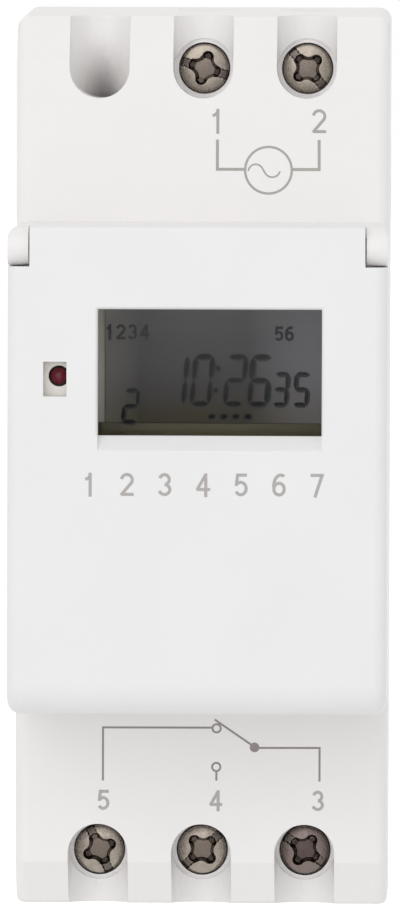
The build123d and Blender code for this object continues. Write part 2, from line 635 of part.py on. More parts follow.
def status_lamp():
    """The small red lamp: dome, flange and two leads through the board."""
    x, z = LAMP_CENTRE
    flange_front = LAMP_SEAT_Y + LAMP_PLAY
    flange_rear = flange_front + LAMP_FLANGE
    solid = rod_y(x, z, LAMP_RADIUS, LAMP_DOME_Y, flange_rear)
    solid += Pos(x, LAMP_DOME_Y, z) * Sphere(LAMP_RADIUS)
    solid += rod_y(x, z, LAMP_FLANGE_RADIUS, flange_front, flange_rear)
    for side in (-1, 1):
        lead_y = (flange_rear - GAP, BOARD_FRONT + BOARD_THICK + 0.9)
        solid += rod_y(x, z + side * LAMP_LEAD_OFFSET, LAMP_LEAD_RADIUS, *lead_y)
    return solid


def switch_bodies():
    """The click switches on the board, each with a bore for its key's stem."""
    bodies = []
    for x, z in KEYS.values():
        body = plate((SWITCH_SIZE, SWITCH_SIZE), (x, z), SWITCH_FRONT, BOARD_FRONT - SWITCH_FRONT)
        body = chamfer(along(body, Axis.Y), 0.5)
        bore_end = SWITCH_FRONT + SWITCH_BORE_DEPTH
        bodies.append(body - rod_y(x, z, STEM_RADIUS + 0.1, SWITCH_FRONT - GAP, bore_end))
    return bodies


def key(node):
    """A key: a round cap through the panel, a flange behind it and a stem into its switch."""
    x, z = KEYS[node]
    small = node == "key_reset"
    radius = RESET_RADIUS if small else KEY_RADIUS
    front = PANEL_Y - (RESET_PROUD if small else KEY_PROUD)
    flange_front = PANEL_Y + WALL + 0.1
    cap = rod_y(x, z, radius, front, flange_front + GAP)
    face_edge = cap.edges().filter_by(GeomType.CIRCLE).sort_by(Axis.Y)[0]
    cap = fillet(face_edge, 0.25 if small else 0.5)
    flange_rear = flange_front + KEY_FLANGE
    flange = rod_y(x, z, KEY_FLANGE_RADIUS, flange_front, flange_rear)
    return cap + flange + rod_y(x, z, STEM_RADIUS, flange_rear - GAP, flange_rear + STEM_LENGTH)


def clock_parts():
    """What stands behind the display board: chip, crystal and the cell that keeps the clock going."""
    rear = BOARD_FRONT + BOARD_THICK
    blob = rod_y(*CHIP_PLACE, 5.0, rear, rear + 1.4)
    save("controller_chip", fillet(blob.edges().filter_by(GeomType.CIRCLE).sort_by(Axis.Y)[-1], 1.2))
    save("clock_crystal", rod_z(CRYSTAL_X, rear + 1.1, 1.0, -4.0, 2.0))
    under = (rear + 0.05, rear + 0.05 + TAB_THICK)
    cell_y = (under[1] + 0.05, rear + 5.8)
    over = (cell_y[1] + 0.05, cell_y[1] + 0.05 + TAB_THICK)
    cell = rod_y(*CELL_PLACE, CELL_RADIUS, *cell_y)
    save("backup_cell", fillet(cell.edges().filter_by(GeomType.CIRCLE), 0.7))
    x = wide(TAB_WIDTH / 2, CELL_PLACE[0])
    foot_z = 2.6
    tab_over = box(x, over, (-12.0, foot_z)) + box(x, (under[0], over[1]), (foot_z - TAB_THICK, foot_z))
    save("cell_tabs", box(x, under, (-18.0, -4.0)), tab_over)


def ribbon_cable():
    """The flat ribbon between the two boards, in one long bend past the relay."""
    start = BOARD_FRONT + BOARD_THICK + RIBBON_THICK
    end = POWER_BOARD_FRONT - RIBBON_THICK
    straight, high, low = 7.0, -16.5, -24.6
    places = [(start, high), (start + straight, high), (end - straight, low), (end, low)]
    path = FilletPolyline(*places, radius=3.0)
    band = offset(path, amount=RIBBON_THICK / 2, side=Side.BOTH)
    return extrude(make_face(Plane.YZ.offset(RIBBON_X) * band), amount=RIBBON_WIDTH, dir=(1, 0, 0))


def power_board():
    """The board in the rear moulding, slotted for the terminal bars' legs."""
    board = plate(POWER_BOARD, (0, 0), POWER_BOARD_FRONT, BOARD_THICK)
    through = (POWER_BOARD_FRONT - 1.0, POWER_BOARD_FRONT + BOARD_THICK + 1.0)
    for x, side in TERMINALS.values():
        board -= box(wide(LEG_WIDTH / 2 + 0.1, x), through, wide(BAR_THICK / 2 + 0.1, side * LEG_Z))
    for x, z in CONTACT_PINS + COIL_PINS:
        board -= rod_y(x, z, 0.7, *through)
    return board


def board_parts():
    """The parts of the mains supply on the power board."""
    top = POWER_BOARD_FRONT
    save("film_capacitor", fillet(box((-14.0, -3.6), (top - 11.0, top - GAP), (-25.9, -10.9)).edges(), 0.8))
    can = rod_y(1.9, -18.0, 4.0, top - 11.0, top - GAP)
    save("smoothing_capacitor", fillet(can.edges().filter_by(GeomType.CIRCLE), 0.5))
    disc = rod_x(top - 6.0, -17.0, 4.4, 8.2, 11.4)
    save("surge_varistor", fillet(disc.edges().filter_by(GeomType.CIRCLE), 1.0))
    diodes = [rod_z(x, top - 1.5, 1.3, -31.0, -26.4) for x in (-5.0, 5.0)]
    save("rectifier_diodes", *diodes)
    resistor = rod_x(top - 2.2, 26.0, 1.9, -5.0, 4.0)
    save("dropper_resistor", fillet(resistor.edges().filter_by(GeomType.CIRCLE), 0.6))


def relay_span():
    """The relay's outside as x, y and z ranges."""
    width, length, height = RELAY_SIZE
    rear = POWER_BOARD_FRONT - GAP
    return wide(width / 2), (rear - height, rear), wide(length / 2, RELAY_Z)


def relay_shells():
    """The relay's cover and its base, with holes for the pins."""
    x, y, z = relay_span()
    base_y = (y[1] - 2.0, y[1])
    cover = fillet(along(box(x, y, z), Axis.Y), 1.0)
    cover = fillet(cover.faces().sort_by(Axis.Y)[0].edges(), 0.8)
    inner = RELAY_WALL
    cover -= box((x[0] + inner, x[1] - inner), (y[0] + inner, y[1] + BEYOND), (z[0] + inner, z[1] - inner))
    margin = inner + 0.05
    base = box((x[0] + margin, x[1] - margin), base_y, (z[0] + margin, z[1] - margin))
    for px, pz in CONTACT_PINS:
        base -= box(wide(0.35, px), (base_y[0] - 1.0, base_y[1] + 1.0), wide(2.1, pz))
    for px, pz in COIL_PINS:
        base -= rod_y(px, pz, 0.5, base_y[0] - 1.0, base_y[1] + 1.0)
    return cover, base


def relay_magnet():
    """Yoke, core, bobbin, winding and the winding's pins."""
    low, high = BOBBIN_Z
    y = wide(YOKE_WIDTH / 2, RELAY_AXIS[1])
    pivot_x, pivot_z = RELAY_PIVOT
    yoke = box((-11.0, pivot_x), y, (low - 1.9, low - GAP))
    yoke += box((pivot_x - 1.6, pivot_x), y, (low - 0.5, pivot_z - 0.15))
    core = rod_z(*RELAY_AXIS, CORE_RADIUS, low - GAP, high + 0.5)
    bobbin = rod_z(*RELAY_AXIS, BOBBIN_RADIUS, low, high)
    for flange_z in ((low, low + BOBBIN_FLANGE), (high - BOBBIN_FLANGE, high)):
        bobbin += rod_z(*RELAY_AXIS, BOBBIN_FLANGE_RADIUS, *flange_z)
    bobbin -= rod_z(*RELAY_AXIS, CORE_RADIUS + 0.05, low - 1.5, high + 1.2)
    coil_z = (low + BOBBIN_FLANGE + 0.05, high - BOBBIN_FLANGE - 0.05)
    coil = rod_z(*RELAY_AXIS, WINDING_RADIUS, *coil_z)
    coil -= rod_z(*RELAY_AXIS, BOBBIN_RADIUS + 0.05, coil_z[0] - 1.0, coil_z[1] + 1.0)
    pin_y = (POWER_BOARD_FRONT - 4.2, POWER_BOARD_FRONT + 3.0)
    return yoke, core, bobbin, coil, [rod_y(x, z, 0.4, *pin_y) for x, z in COIL_PINS]


def relay_armature():
    """The rocking plate over the core, with its contact blade and contact."""
    middle_y = RELAY_AXIS[1]
    y = wide(4.4, middle_y)
    plate_z = (RELAY_PIVOT[1] + GAP, RELAY_PIVOT[1] + 1.35)
    blade_x = (6.6, 7.0)
    solid = box((-10.6, blade_x[1]), y, plate_z)
    solid += rod_y(*RELAY_PIVOT, PIVOT_BEAD_RADIUS, *y)
    solid += box(blade_x, wide(2.5, middle_y), (CONTACT_PINS[0][1] - 1.5, plate_z[0] + 0.15))
    return solid + rod_x(middle_y, CONTACT_PINS[0][1], CONTACT_RADIUS, blade_x[0] - 0.5, blade_x[1] + 0.5)


def relay_contacts():
    """The two fixed contacts, each a blade that goes through the base as a pin."""
    blades = []
    for (x, z), face, back in zip(CONTACT_PINS, (6.05, 8.3), (5.2, 9.25)):
        blade_x = sorted((back, back + math.copysign(0.45, face - back)))
        blade = box(blade_x, (-25.5, POWER_BOARD_FRONT - 1.0), wide(2.0, z))
        middle_x = (blade_x[0] + blade_x[1]) / 2
        pin = rod_y(middle_x, z, 0.2, POWER_BOARD_FRONT - 1.5, POWER_BOARD_FRONT + 2.6)
        rivet = rod_x(RELAY_AXIS[1], z, CONTACT_RADIUS, *sorted((face, middle_x)))
        blades.append(blade + pin + rivet)
    return blades


def screw_head(turn):
    """A terminal screw's head at the origin, front at -Y, with its cross recess and long slot."""
    head = rod_y(0, 0, HEAD_RADIUS, -HEAD_HEIGHT, 0)
    head = fillet(head.edges().filter_by(GeomType.CIRCLE).sort_by(Axis.Y)[0], 0.55)
    front = -HEAD_HEIGHT - 1.0
    slot = box(wide(HEAD_RADIUS + 0.5), (front, -HEAD_HEIGHT + 0.75), wide(0.42))
    cross = box(wide(1.75), (front, -HEAD_HEIGHT + 1.1), wide(0.48))
    cross += box(wide(0.48), (front, -HEAD_HEIGHT + 1.1), wide(1.75))
    well = rod_y(0, 0, 1.05, front, -HEAD_HEIGHT + 1.45)
    return Rot(Y=-turn) * (head - slot - cross - well)


def terminal_screw(number):
    """A clamp screw: its head rests in its well and its tip stands on the terminal bar."""
    x, side = TERMINALS[number]
    z = side * SCREW_Z
    head_rear = SEAT_Y - 0.05
    head = Pos(x, head_rear, z) * screw_head(SCREW_TURN[number])
    tip = BAR_FRONT - 0.05
    shank = rod_y(x, z, SHANK_RADIUS, head_rear - GAP, tip)
    return head + chamfer(shank.edges().filter_by(GeomType.CIRCLE).sort_by(Axis.Y)[-1], 0.4)


def terminal_cage(number):
    """A clamp cage, a ring that the screw draws up to hold the wire against the bar."""
    x, side = TERMINALS[number]
    z = side * SCREW_Z
    bar_rear = BAR_FRONT + BAR_THICK
    front = BAR_FRONT - CAGE_PLAY - CAGE_TOP
    rear = bar_rear + WIRE_GAP + CAGE_BOTTOM
    length = wide(CAGE_LENGTH / 2, z)
    ring = fillet(along(box(wide(CAGE_WIDTH / 2, x), (front, rear), length), Axis.Z), 0.6)
    wire_way = (front + CAGE_TOP, rear - CAGE_BOTTOM)
    ring -= box(wide(CAGE_WIDTH / 2 - CAGE_SIDE, x), wire_way, wide(CAGE_LENGTH, z))
    return ring - rod_y(x, z, SHANK_RADIUS + 0.05, front - 1.0, front + CAGE_TOP + 0.5)


def terminal_bar(number):
    """A terminal's plated bar, bent down to a leg that is soldered in the power board."""
    x, side = TERMINALS[number]
    rear = BAR_FRONT + BAR_THICK
    flat = box(wide(BAR_WIDTH / 2, x), (BAR_FRONT, rear), (LEG_Z - BAR_THICK / 2, INNER_Z - 0.3))
    leg_z = wide(BAR_THICK / 2, LEG_Z)
    leg = box(wide(LEG_WIDTH / 2, x), (rear - GAP, POWER_BOARD_FRONT + BOARD_THICK + 1.0), leg_z)
    return end_to_end(flat + leg, side)


def main():
    os.makedirs("parts", exist_ok=True)
    save("front_housing", front_housing())
    save("rear_housing", rear_housing())
    save("flip_cover", flip_cover())
    save("rail_latch", rail_latch())
    save("latch_spring", latch_spring())
    display_parts()
    save("display_board", display_board())
    save("board_screws", *board_screws())
    save("status_lamp", status_lamp())
    save("key_switches", *switch_bodies())
    for node in KEYS:
        save(node, key(node))
    clock_parts()
    save("ribbon_cable", ribbon_cable())
    save("power_board", power_board())
    board_parts()
    cover, base = relay_shells()
    save("relay_cover", cover)
    save("relay_base", base)
    yoke, core, bobbin, coil, pins = relay_magnet()
    save("relay_yoke", yoke)
    save("relay_core", core)
    save("relay_bobbin", bobbin)
    save("relay_coil", coil)
    save("relay_coil_pins", *pins)
    save("relay_armature", relay_armature())
    save("relay_contacts", *relay_contacts())
    for number in TERMINALS:
        save(f"terminal_screw_{number}", terminal_screw(number))
        save(f"terminal_cage_{number}", terminal_cage(number))
        save(f"terminal_bar_{number}", terminal_bar(number))


main()
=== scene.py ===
"""Looks of a two-module time switch for a 35 mm rail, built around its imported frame.

X runs along the rail, Z is up and the cover faces -Y. Places and sizes that are named with MM, or
given to a function as plain figures, are in millimetres; meshes are in metres.
"""

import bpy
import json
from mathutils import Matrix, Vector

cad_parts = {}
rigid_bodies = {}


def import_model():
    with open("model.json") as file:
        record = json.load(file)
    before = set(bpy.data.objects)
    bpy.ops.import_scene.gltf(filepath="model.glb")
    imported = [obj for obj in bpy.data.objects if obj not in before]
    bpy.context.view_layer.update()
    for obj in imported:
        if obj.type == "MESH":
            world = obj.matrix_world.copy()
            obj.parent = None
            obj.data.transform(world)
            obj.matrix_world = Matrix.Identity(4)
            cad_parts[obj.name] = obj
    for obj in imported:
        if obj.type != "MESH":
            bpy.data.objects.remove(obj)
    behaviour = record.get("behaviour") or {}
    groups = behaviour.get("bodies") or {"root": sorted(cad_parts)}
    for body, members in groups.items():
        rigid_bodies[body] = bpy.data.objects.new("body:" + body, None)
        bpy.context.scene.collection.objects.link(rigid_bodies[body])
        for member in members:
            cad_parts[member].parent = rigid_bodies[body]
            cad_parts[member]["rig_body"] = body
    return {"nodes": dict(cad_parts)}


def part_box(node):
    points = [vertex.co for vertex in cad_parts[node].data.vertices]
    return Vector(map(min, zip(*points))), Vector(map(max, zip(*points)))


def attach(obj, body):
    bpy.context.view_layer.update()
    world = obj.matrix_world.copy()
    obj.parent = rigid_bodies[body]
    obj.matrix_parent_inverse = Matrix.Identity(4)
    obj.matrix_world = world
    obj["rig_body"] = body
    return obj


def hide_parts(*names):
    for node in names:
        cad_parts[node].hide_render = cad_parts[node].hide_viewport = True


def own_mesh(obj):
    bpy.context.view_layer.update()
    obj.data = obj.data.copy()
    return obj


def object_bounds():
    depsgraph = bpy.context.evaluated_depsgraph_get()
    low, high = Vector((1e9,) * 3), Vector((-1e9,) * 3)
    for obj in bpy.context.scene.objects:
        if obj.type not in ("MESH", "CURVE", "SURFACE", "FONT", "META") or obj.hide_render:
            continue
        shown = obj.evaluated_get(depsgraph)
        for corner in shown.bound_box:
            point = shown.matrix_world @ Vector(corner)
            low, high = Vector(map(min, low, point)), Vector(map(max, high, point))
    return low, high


bl_info = {
    "name": "Rail time switch",
    "version": (1, 0, 0),
    "blender": (4, 5, 0),
    "location": "View3D > Sidebar > Time switch",
    "description": "Builds the mouldings, display, keys, terminals and print of a rail time switch",
    "category": "Object",
}

import json
import math

import bmesh
import bpy
from bpy.props import FloatProperty, FloatVectorProperty, IntProperty, PointerProperty
from mathutils import Matrix, Vector

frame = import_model()
CAD_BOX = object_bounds()

MM = 0.001
ROUNDED_ABOVE = math.radians(30)
SHARP_ABOVE = math.radians(50)
FLAT_BELOW = math.radians(0.5)
MERGED_BELOW = 0.0005 * MM
QUARTER_TURN = math.radians(90)

# Where the faces that carry print lie, and what belongs to the panel behind the cover, in mm
SHOULDER_Y = -39.5
PANEL_Y = -53.0
COVER_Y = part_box("flip_cover")[0].y / MM
EARS_FROM = 15.9
BEHIND_PANEL = 0.1

SCREW_TURN = {1: -17.0, 2: -48.0, 3: -35.0, 4: 42.0, 5: -66.0}    # the slots' angles seen from the front
WORN_SCREW = 3

# The screws' heads and threads, in mm but for the counts, slopes and shares
HEAD_STEPS, HEAD_RINGS = 144, 60
HEAD_DEPTH = 2.0
CORE_TAPER = 0.4
CROSS_WALL, SLOT_WALL = 4.0, 8.0
WING_TIP_DEPTH = 0.55
RECESS_DARKENING_DEPTH = 1.4
THREAD_TURNS = 9.5
THREAD_ABOVE_TIP = 0.6
RIDGE_SHARE = 0.46

# The latch's spring, in mm
SPRING_WIRE = 0.35
SPRING_TURNS = 9.0

# Rounding of edges, in mm
LATCH_EDGE, COVER_EDGE, KEY_EDGE, SMALL_EDGE = 0.12, 0.1, 0.08, 0.06

# Ink: its thickness as a share of its stroke, how much of that its middle lies behind the face, and how
# far each stroke of a sketch lies above the one before, in mm
INK_FILM, INK_SUNK, LAYER_STEP = 0.06, 0.3, 0.0002

# Strokes as shares of a sign's line width, and the display's own sizes in mm
RING_STROKE, WAVE_STROKE, NUMBER_STROKE = 0.8, 0.6, 1.5
SEGMENT_FILM, SIGNS_RISE, SMALL_STROKE = 0.02, 0.02, 0.27

# The stage, in metres
FLOOR_HALF, FLOOR_DROP = 6.0, 0.06
LAMP_SIZE = 0.9
LAMP_PLACE, LAMP_AIM = Vector((-0.28, -1.10, 0.42)), Vector((0, -0.04, 0))

WAVE_PERIOD = 0.314    # distance between a wave texture's bands at scale 1
USUAL_NOISE = {"From Min": 0.3, "From Max": 0.7}    # where a noise texture's values mostly lie


# Colour and node helpers

def linear(colour):
    """An sRGB hex colour as linear red, green, blue and alpha. A setting's colour is linear already."""
    if not isinstance(colour, str):
        return colour
    channels = [int(colour[i:i + 2], 16) / 255 for i in (1, 3, 5)]
    return [c / 12.92 if c <= 0.04045 else ((c + 0.055) / 1.055) ** 2.4 for c in channels] + [1.0]


def feed(tree, node, inputs):
    """Sets or links a node's inputs by name or index. A node stands for its first output."""
    for key, value in inputs.items():
        socket = node.inputs[key]
        if isinstance(value, bpy.types.Node):
            value = value.outputs[0]
        if isinstance(value, bpy.types.NodeSocket):
            tree.links.new(value, socket)
        elif socket.type == "RGBA":
            socket.default_value = linear(value)
        else:
            socket.default_value = value


def add(tree, kind, settings=None, inputs=None):
    """Adds a node, sets its properties and feeds its inputs."""
    node = tree.nodes.new(kind)
    for name, value in (settings or {}).items():
        setattr(node, name, value)
    feed(tree, node, inputs or {})
    return node


def new_material(name):
    """An empty material with a Principled shader, and its tree and shader."""
    material = bpy.data.materials.new(name)
    material.use_nodes = True
    tree = material.node_tree
    tree.nodes.clear()
    shader = add(tree, "ShaderNodeBsdfPrincipled")
    add(tree, "ShaderNodeOutputMaterial", inputs={"Surface": shader})
    return material, tree, shader


def grain(tree, size, detail=2.0, stretch=None):
    """Noise on Object coordinates whose grains are about size mm across."""
    place = add(tree, "ShaderNodeTexCoord").outputs["Object"]
    if stretch:
        place = add(tree, "ShaderNodeMapping", inputs={"Vector": place, "Scale": stretch})
    inputs = {"Vector": place, "Scale": 1 / (size * MM), "Detail": detail}
    return add(tree, "ShaderNodeTexNoise", inputs=inputs).outputs["Fac"]


def uneven(tree, size, low, high):
    """A value that wanders from low to high, in patches about size mm across."""
    inputs = {"Value": grain(tree, size), "To Min": low, "To Max": high, **USUAL_NOISE}
    return add(tree, "ShaderNodeMapRange", inputs=inputs)


def clouded(tree, size, colour, shade):
    """Two tones of a colour, clouded into each other in patches about size mm across."""
    inputs = {0: uneven(tree, size, 0.0, 1.0), 6: colour, 7: shade}
    return add(tree, "ShaderNodeMix", {"data_type": "RGBA"}, inputs).outputs[2]


def textured(tree, shader, size, roughness, depth, detail=3.0, stretch=None):
    """Fine grain size mm across and depth mm deep, which also spreads the gloss between two values."""
    height = grain(tree, size, detail, stretch)
    inputs = {"Value": height, "To Min": roughness[0], "To Max": roughness[1], **USUAL_NOISE}
    gloss = add(tree, "ShaderNodeMapRange", inputs=inputs)
    raised = add(tree, "ShaderNodeBump", inputs={"Height": height, "Distance": depth * MM})
    feed(tree, shader, {"Roughness": gloss, "Normal": raised})


def colour_steps(tree, share, steps):
    """A colour ramp through (place, colour) steps, by a share from 0 to 1."""
    node = add(tree, "ShaderNodeValToRGB", inputs={0: share})
    marks = node.color_ramp.elements
    marks.remove(marks[0])
    marks[0].position = steps[0][0]
    marks[0].color = linear(steps[0][1])
    for place, colour in steps[1:]:
        marks.new(place).color = linear(colour)
    return node


def height_share(tree, node, axis="Z"):
    """0 at a CAD node's lower end along an axis, 1 at its upper end."""
    low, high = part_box(node)
    place = add(tree, "ShaderNodeTexCoord").outputs["Object"]
    height = add(tree, "ShaderNodeSeparateXYZ", inputs={0: place}).outputs[axis]
    ends = {"From Min": getattr(low, axis.lower()), "From Max": getattr(high, axis.lower())}
    return add(tree, "ShaderNodeMapRange", inputs=dict(ends, Value=height))


# Materials

def moulded_abs(name, colour, shade, grain_size=0.35, roughness=(0.40, 0.50)):
    """Injection-moulded ABS: a satin skin with a fine spark-eroded grain and a faint cloudiness."""
    material, tree, shader = new_material(name)
    textured(tree, shader, grain_size, roughness, depth=0.006)
    feed(tree, shader, {"Base Color": clouded(tree, 9.0, colour, shade), "IOR": 1.53})
    return material


def plated_metal(name, colour, shade, roughness, grain_size=0.25, stretch=None):
    """Plated metal: its plating varies a little in tone, and fine tooling marks blur what it mirrors."""
    material, tree, shader = new_material(name)
    textured(tree, shader, grain_size, roughness, depth=0.004, stretch=stretch)
    feed(tree, shader, {"Base Color": clouded(tree, 0.9, colour, shade), "Metallic": 1.0})
    return material


def screw_plating(name, face, walls, floor):
    """Nickel on a screw: bright on the head's face, and darker brown on the walls and floor of its
    recess.
    """
    material, tree, shader = new_material(name)
    textured(tree, shader, 0.18, (0.16, 0.34), depth=0.004)
    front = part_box("terminal_screw_1")[0].y
    place = add(tree, "ShaderNodeTexCoord").outputs["Object"]
    depth = add(tree, "ShaderNodeSeparateXYZ", inputs={0: place}).outputs["Y"]
    inputs = {"Value": depth, "From Min": front, "From Max": front + RECESS_DARKENING_DEPTH * MM}
    share = add(tree, "ShaderNodeMapRange", inputs=inputs)
    # Bright face, then darker brown walls and floor, by depth into the recess
    steps = ((0.0, face), (0.2, face), (0.36, walls), (0.64, walls), (0.8, floor))
    inputs = {0: uneven(tree, 0.5, 0.0, 0.3), 6: colour_steps(tree, share, steps), 7: walls}
    stained = add(tree, "ShaderNodeMix", {"data_type": "RGBA"}, inputs)
    feed(tree, shader, {"Base Color": stained.outputs[2], "Metallic": 1.0})
    return material


def brushed_foil():
    """The display's rear reflector: grey foil with fine brush marks across it."""
    return plated_metal("brushed_reflector_foil", "#8E9088", "#7F8179", (0.4, 0.55), 0.1, (1, 1, 0.05))


def glossy_plastic(name, colour, shade, roughness=(0.18, 0.28)):
    """Smooth moulded or dipped plastic: an even colour with a soft gloss."""
    material, tree, shader = new_material(name)
    textured(tree, shader, 0.5, roughness, depth=0.002, detail=2.0)
    feed(tree, shader, {"Base Color": clouded(tree, 2.5, colour, shade)})
    return material


def clear_acrylic():
    """Coated clear acrylic: the display's lens, which hardly mirrors and softens what is behind it."""
    material, tree, shader = new_material("coated_clear_acrylic")
    feed(tree, shader, {
        "Base Color": "#F6F6F6", "Transmission Weight": 1.0, "IOR": 1.08,
        "Roughness": uneven(tree, 3.0, 0.01, 0.03),
    })
    return material


def polariser(props):
    """Polariser film over a grey reflector: slate grey, olive low down, with painted reflection and
    light.
    """
    material, tree, shader = new_material("polariser_film")
    # Up the film: its own olive and slate grey, under a painted reflection that lightens it towards the
    # top
    upright = (
        (0.0, props.film_edge), (0.06, props.film_edge), (0.26, props.film_low), (0.6, props.film_middle),
        (0.85, props.film_high),
    )
    # Across the film: painted light at both sides, so that it is dimmest across the middle
    sides = ((0.0, "#605E59"), (0.15, "#000000"), (0.6, "#000000"), (1.0, "#79777C"))
    inputs = {
        0: 1.0,
        6: colour_steps(tree, height_share(tree, "display_polariser"), upright),
        7: colour_steps(tree, height_share(tree, "display_polariser", "X"), sides),
    }
    both = add(tree, "ShaderNodeMix", {"data_type": "RGBA", "blend_type": "ADD"}, inputs)
    feed(tree, shader, {
        "Base Color": both.outputs[2], "Roughness": uneven(tree, 0.4, 0.42, 0.55),
        "Specular IOR Level": 0.05,
    })
    return material


def display_pane(props):
    """Float glass over an olive liquid layer, bare beside the film and darker in the band below it."""
    material, tree, shader = new_material("display_pane_glass")
    steps = ((0.0, props.glass_low), (0.19, props.glass_low), (0.2, props.glass), (1.0, props.glass))
    feed(tree, shader, {
        "Base Color": colour_steps(tree, height_share(tree, "display_glass"), steps),
        "Roughness": uneven(tree, 1.5, 0.08, 0.14), "Specular IOR Level": 0.2,
    })
    return material


def liquid_crystal(name, high, low):
    """A switched-on crystal segment: matt charcoal without a gloss of its own, darkest low down."""
    material, tree, shader = new_material(name)
    share = height_share(tree, "display_polariser")
    feed(tree, shader, {
        # Darker low down and lighter towards the top: a painted reflection, as on the film
        "Base Color": colour_steps(tree, share, ((0.06, low), (0.3, high))),
        "Roughness": uneven(tree, 0.3, 0.65, 0.8), "Specular IOR Level": 0.03,
    })
    return material


def lamp_resin(props):
    """Tinted epoxy lamp: wine red over the die, near black at its thick rim, partly painted shade."""
    material, tree, shader = new_material("tinted_lamp_resin")
    low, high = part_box("status_lamp")
    value = add(tree, "ShaderNodeTexCoord").outputs["Object"]
    for operation, other in (("SUBTRACT", tuple((low + high) / 2)), ("MULTIPLY", (1, 0, 1))):
        value = add(tree, "ShaderNodeVectorMath", {"operation": operation}, {0: value, 1: other})
    reach = add(tree, "ShaderNodeVectorMath", {"operation": "LENGTH"}, {0: value}).outputs["Value"]
    share = add(tree, "ShaderNodeMapRange", inputs={"Value": reach, "From Max": 0.95 * MM})
    # The dark rim: partly the thick wall of resin, partly painted shade of the gap round the lamp
    steps = ((0.0, props.lamp), (0.72, props.lamp), (0.95, props.lamp_rim))
    feed(tree, shader, {
        "Base Color": colour_steps(tree, share, steps),
        "Roughness": uneven(tree, 0.6, 0.10, 0.16), "Specular IOR Level": 0.3,
    })
    return material


def circuit_board():
    """Green solder-masked glass fibre board: tracks under the mask show as lighter bands."""
    material, tree, shader = new_material("solder_mask_green")
    place = add(tree, "ShaderNodeTexCoord").outputs["Object"]
    inputs = {"Vector": place, "Scale": 1 / (2.4 * MM)}
    tracks = add(tree, "ShaderNodeTexVoronoi", {"distance": "MANHATTAN"}, inputs).outputs["Distance"]
    band = add(tree, "ShaderNodeMath", {"operation": "GREATER_THAN"}, {0: tracks, 1: 0.55})
    mask = add(tree, "ShaderNodeMix", {"data_type": "RGBA"}, {0: band, 6: "#12502A", 7: "#1F6B3A"})
    raised = add(tree, "ShaderNodeBump", inputs={"Height": band, "Distance": 0.02 * MM})
    feed(tree, shader, {"Base Color": mask.outputs[2], "Roughness": 0.3, "Normal": raised})
    return material


def banded(name, axis, spacing, tones, height, finish):
    """Bands across an axis, spacing mm apart and height mm high, from a dark tone to a light one."""
    material, tree, shader = new_material(name)
    place = add(tree, "ShaderNodeTexCoord").outputs["Object"]
    settings = {"wave_type": "BANDS", "bands_direction": axis}
    inputs = {"Vector": place, "Scale": WAVE_PERIOD / (spacing * MM)}
    bands = add(tree, "ShaderNodeTexWave", settings, inputs).outputs["Fac"]
    mix = add(tree, "ShaderNodeMix", {"data_type": "RGBA"}, {0: bands, 6: tones[0], 7: tones[1]})
    feed(tree, shader, {"Base Color": mix.outputs[2], **finish})
    if height:
        raised = add(tree, "ShaderNodeBump", inputs={"Height": bands, "Distance": height * MM})
        feed(tree, shader, {"Normal": raised})
    return material


def winding():
    """Enamelled copper wire in layers along Z, 0.3 mm a turn: a painted highlight on each turn, shade
    between.
    """
    finish = {"Metallic": 0.8, "Roughness": 0.35}
    return banded("enamelled_copper", "Z", 0.3, ("#6E2E14", "#C4703A"), 0.05, finish)


def layered_rubber():
    """Contact strip: black and grey layers of silicone rubber, 0.5 mm a pair, side by side along X."""
    return banded("layered_silicone_rubber", "X", 0.5, ("#151515", "#4A4A4A"), 0.0, {"Roughness": 0.7})


def ribbon_vinyl():
    """Grey vinyl ribbon cable, its cores 1.27 mm apart: a soft groove between each two, in painted shade.
    """
    return banded("ribbed_grey_vinyl", "X", 1.27, ("#8D8F90", "#B9BBBB"), 0.2, {"Roughness": 0.5})


def cement_coating():
    """The coating of a power resistor: dull grey cement with a coarse, dry grain."""
    return moulded_abs("cement_coated_grey", "#8E8F8A", "#868782", 0.2, (0.7, 0.8))


def pad_print(name, colour, shade):
    """Pad-printed ink: a thin matt film that covers a little unevenly."""
    material, tree, shader = new_material(name)
    feed(tree, shader, {"Base Color": clouded(tree, 0.25, colour, shade), "Roughness": 0.6})
    return material


# Mesh helpers

def mesh_from(bm, name):
    """A mesh of what a bmesh holds. The bmesh is freed."""
    mesh = bpy.data.meshes.new(name)
    bm.to_mesh(mesh)
    bm.free()
    return mesh


def new_object(name, data):
    """A new object in the scene."""
    obj = bpy.data.objects.new(name, data)
    bpy.context.scene.collection.objects.link(obj)
    return obj


def shaded_object(name, mesh, material):
    """A new object of a mesh with its material, shaded smooth below the sharp angle."""
    mesh.materials.clear()
    mesh.materials.append(material)
    mesh.shade_smooth()
    mesh.set_sharp_from_angle(angle=SHARP_ABOVE)
    return new_object(name, mesh)


def evaluated_mesh(obj, name):
    """A plain mesh of what obj's modifiers make. The object is removed."""
    bpy.context.view_layer.update()
    depsgraph = bpy.context.evaluated_depsgraph_get()
    mesh = bpy.data.meshes.new_from_object(obj.evaluated_get(depsgraph))
    bpy.data.objects.remove(obj)
    mesh.name = name
    return mesh


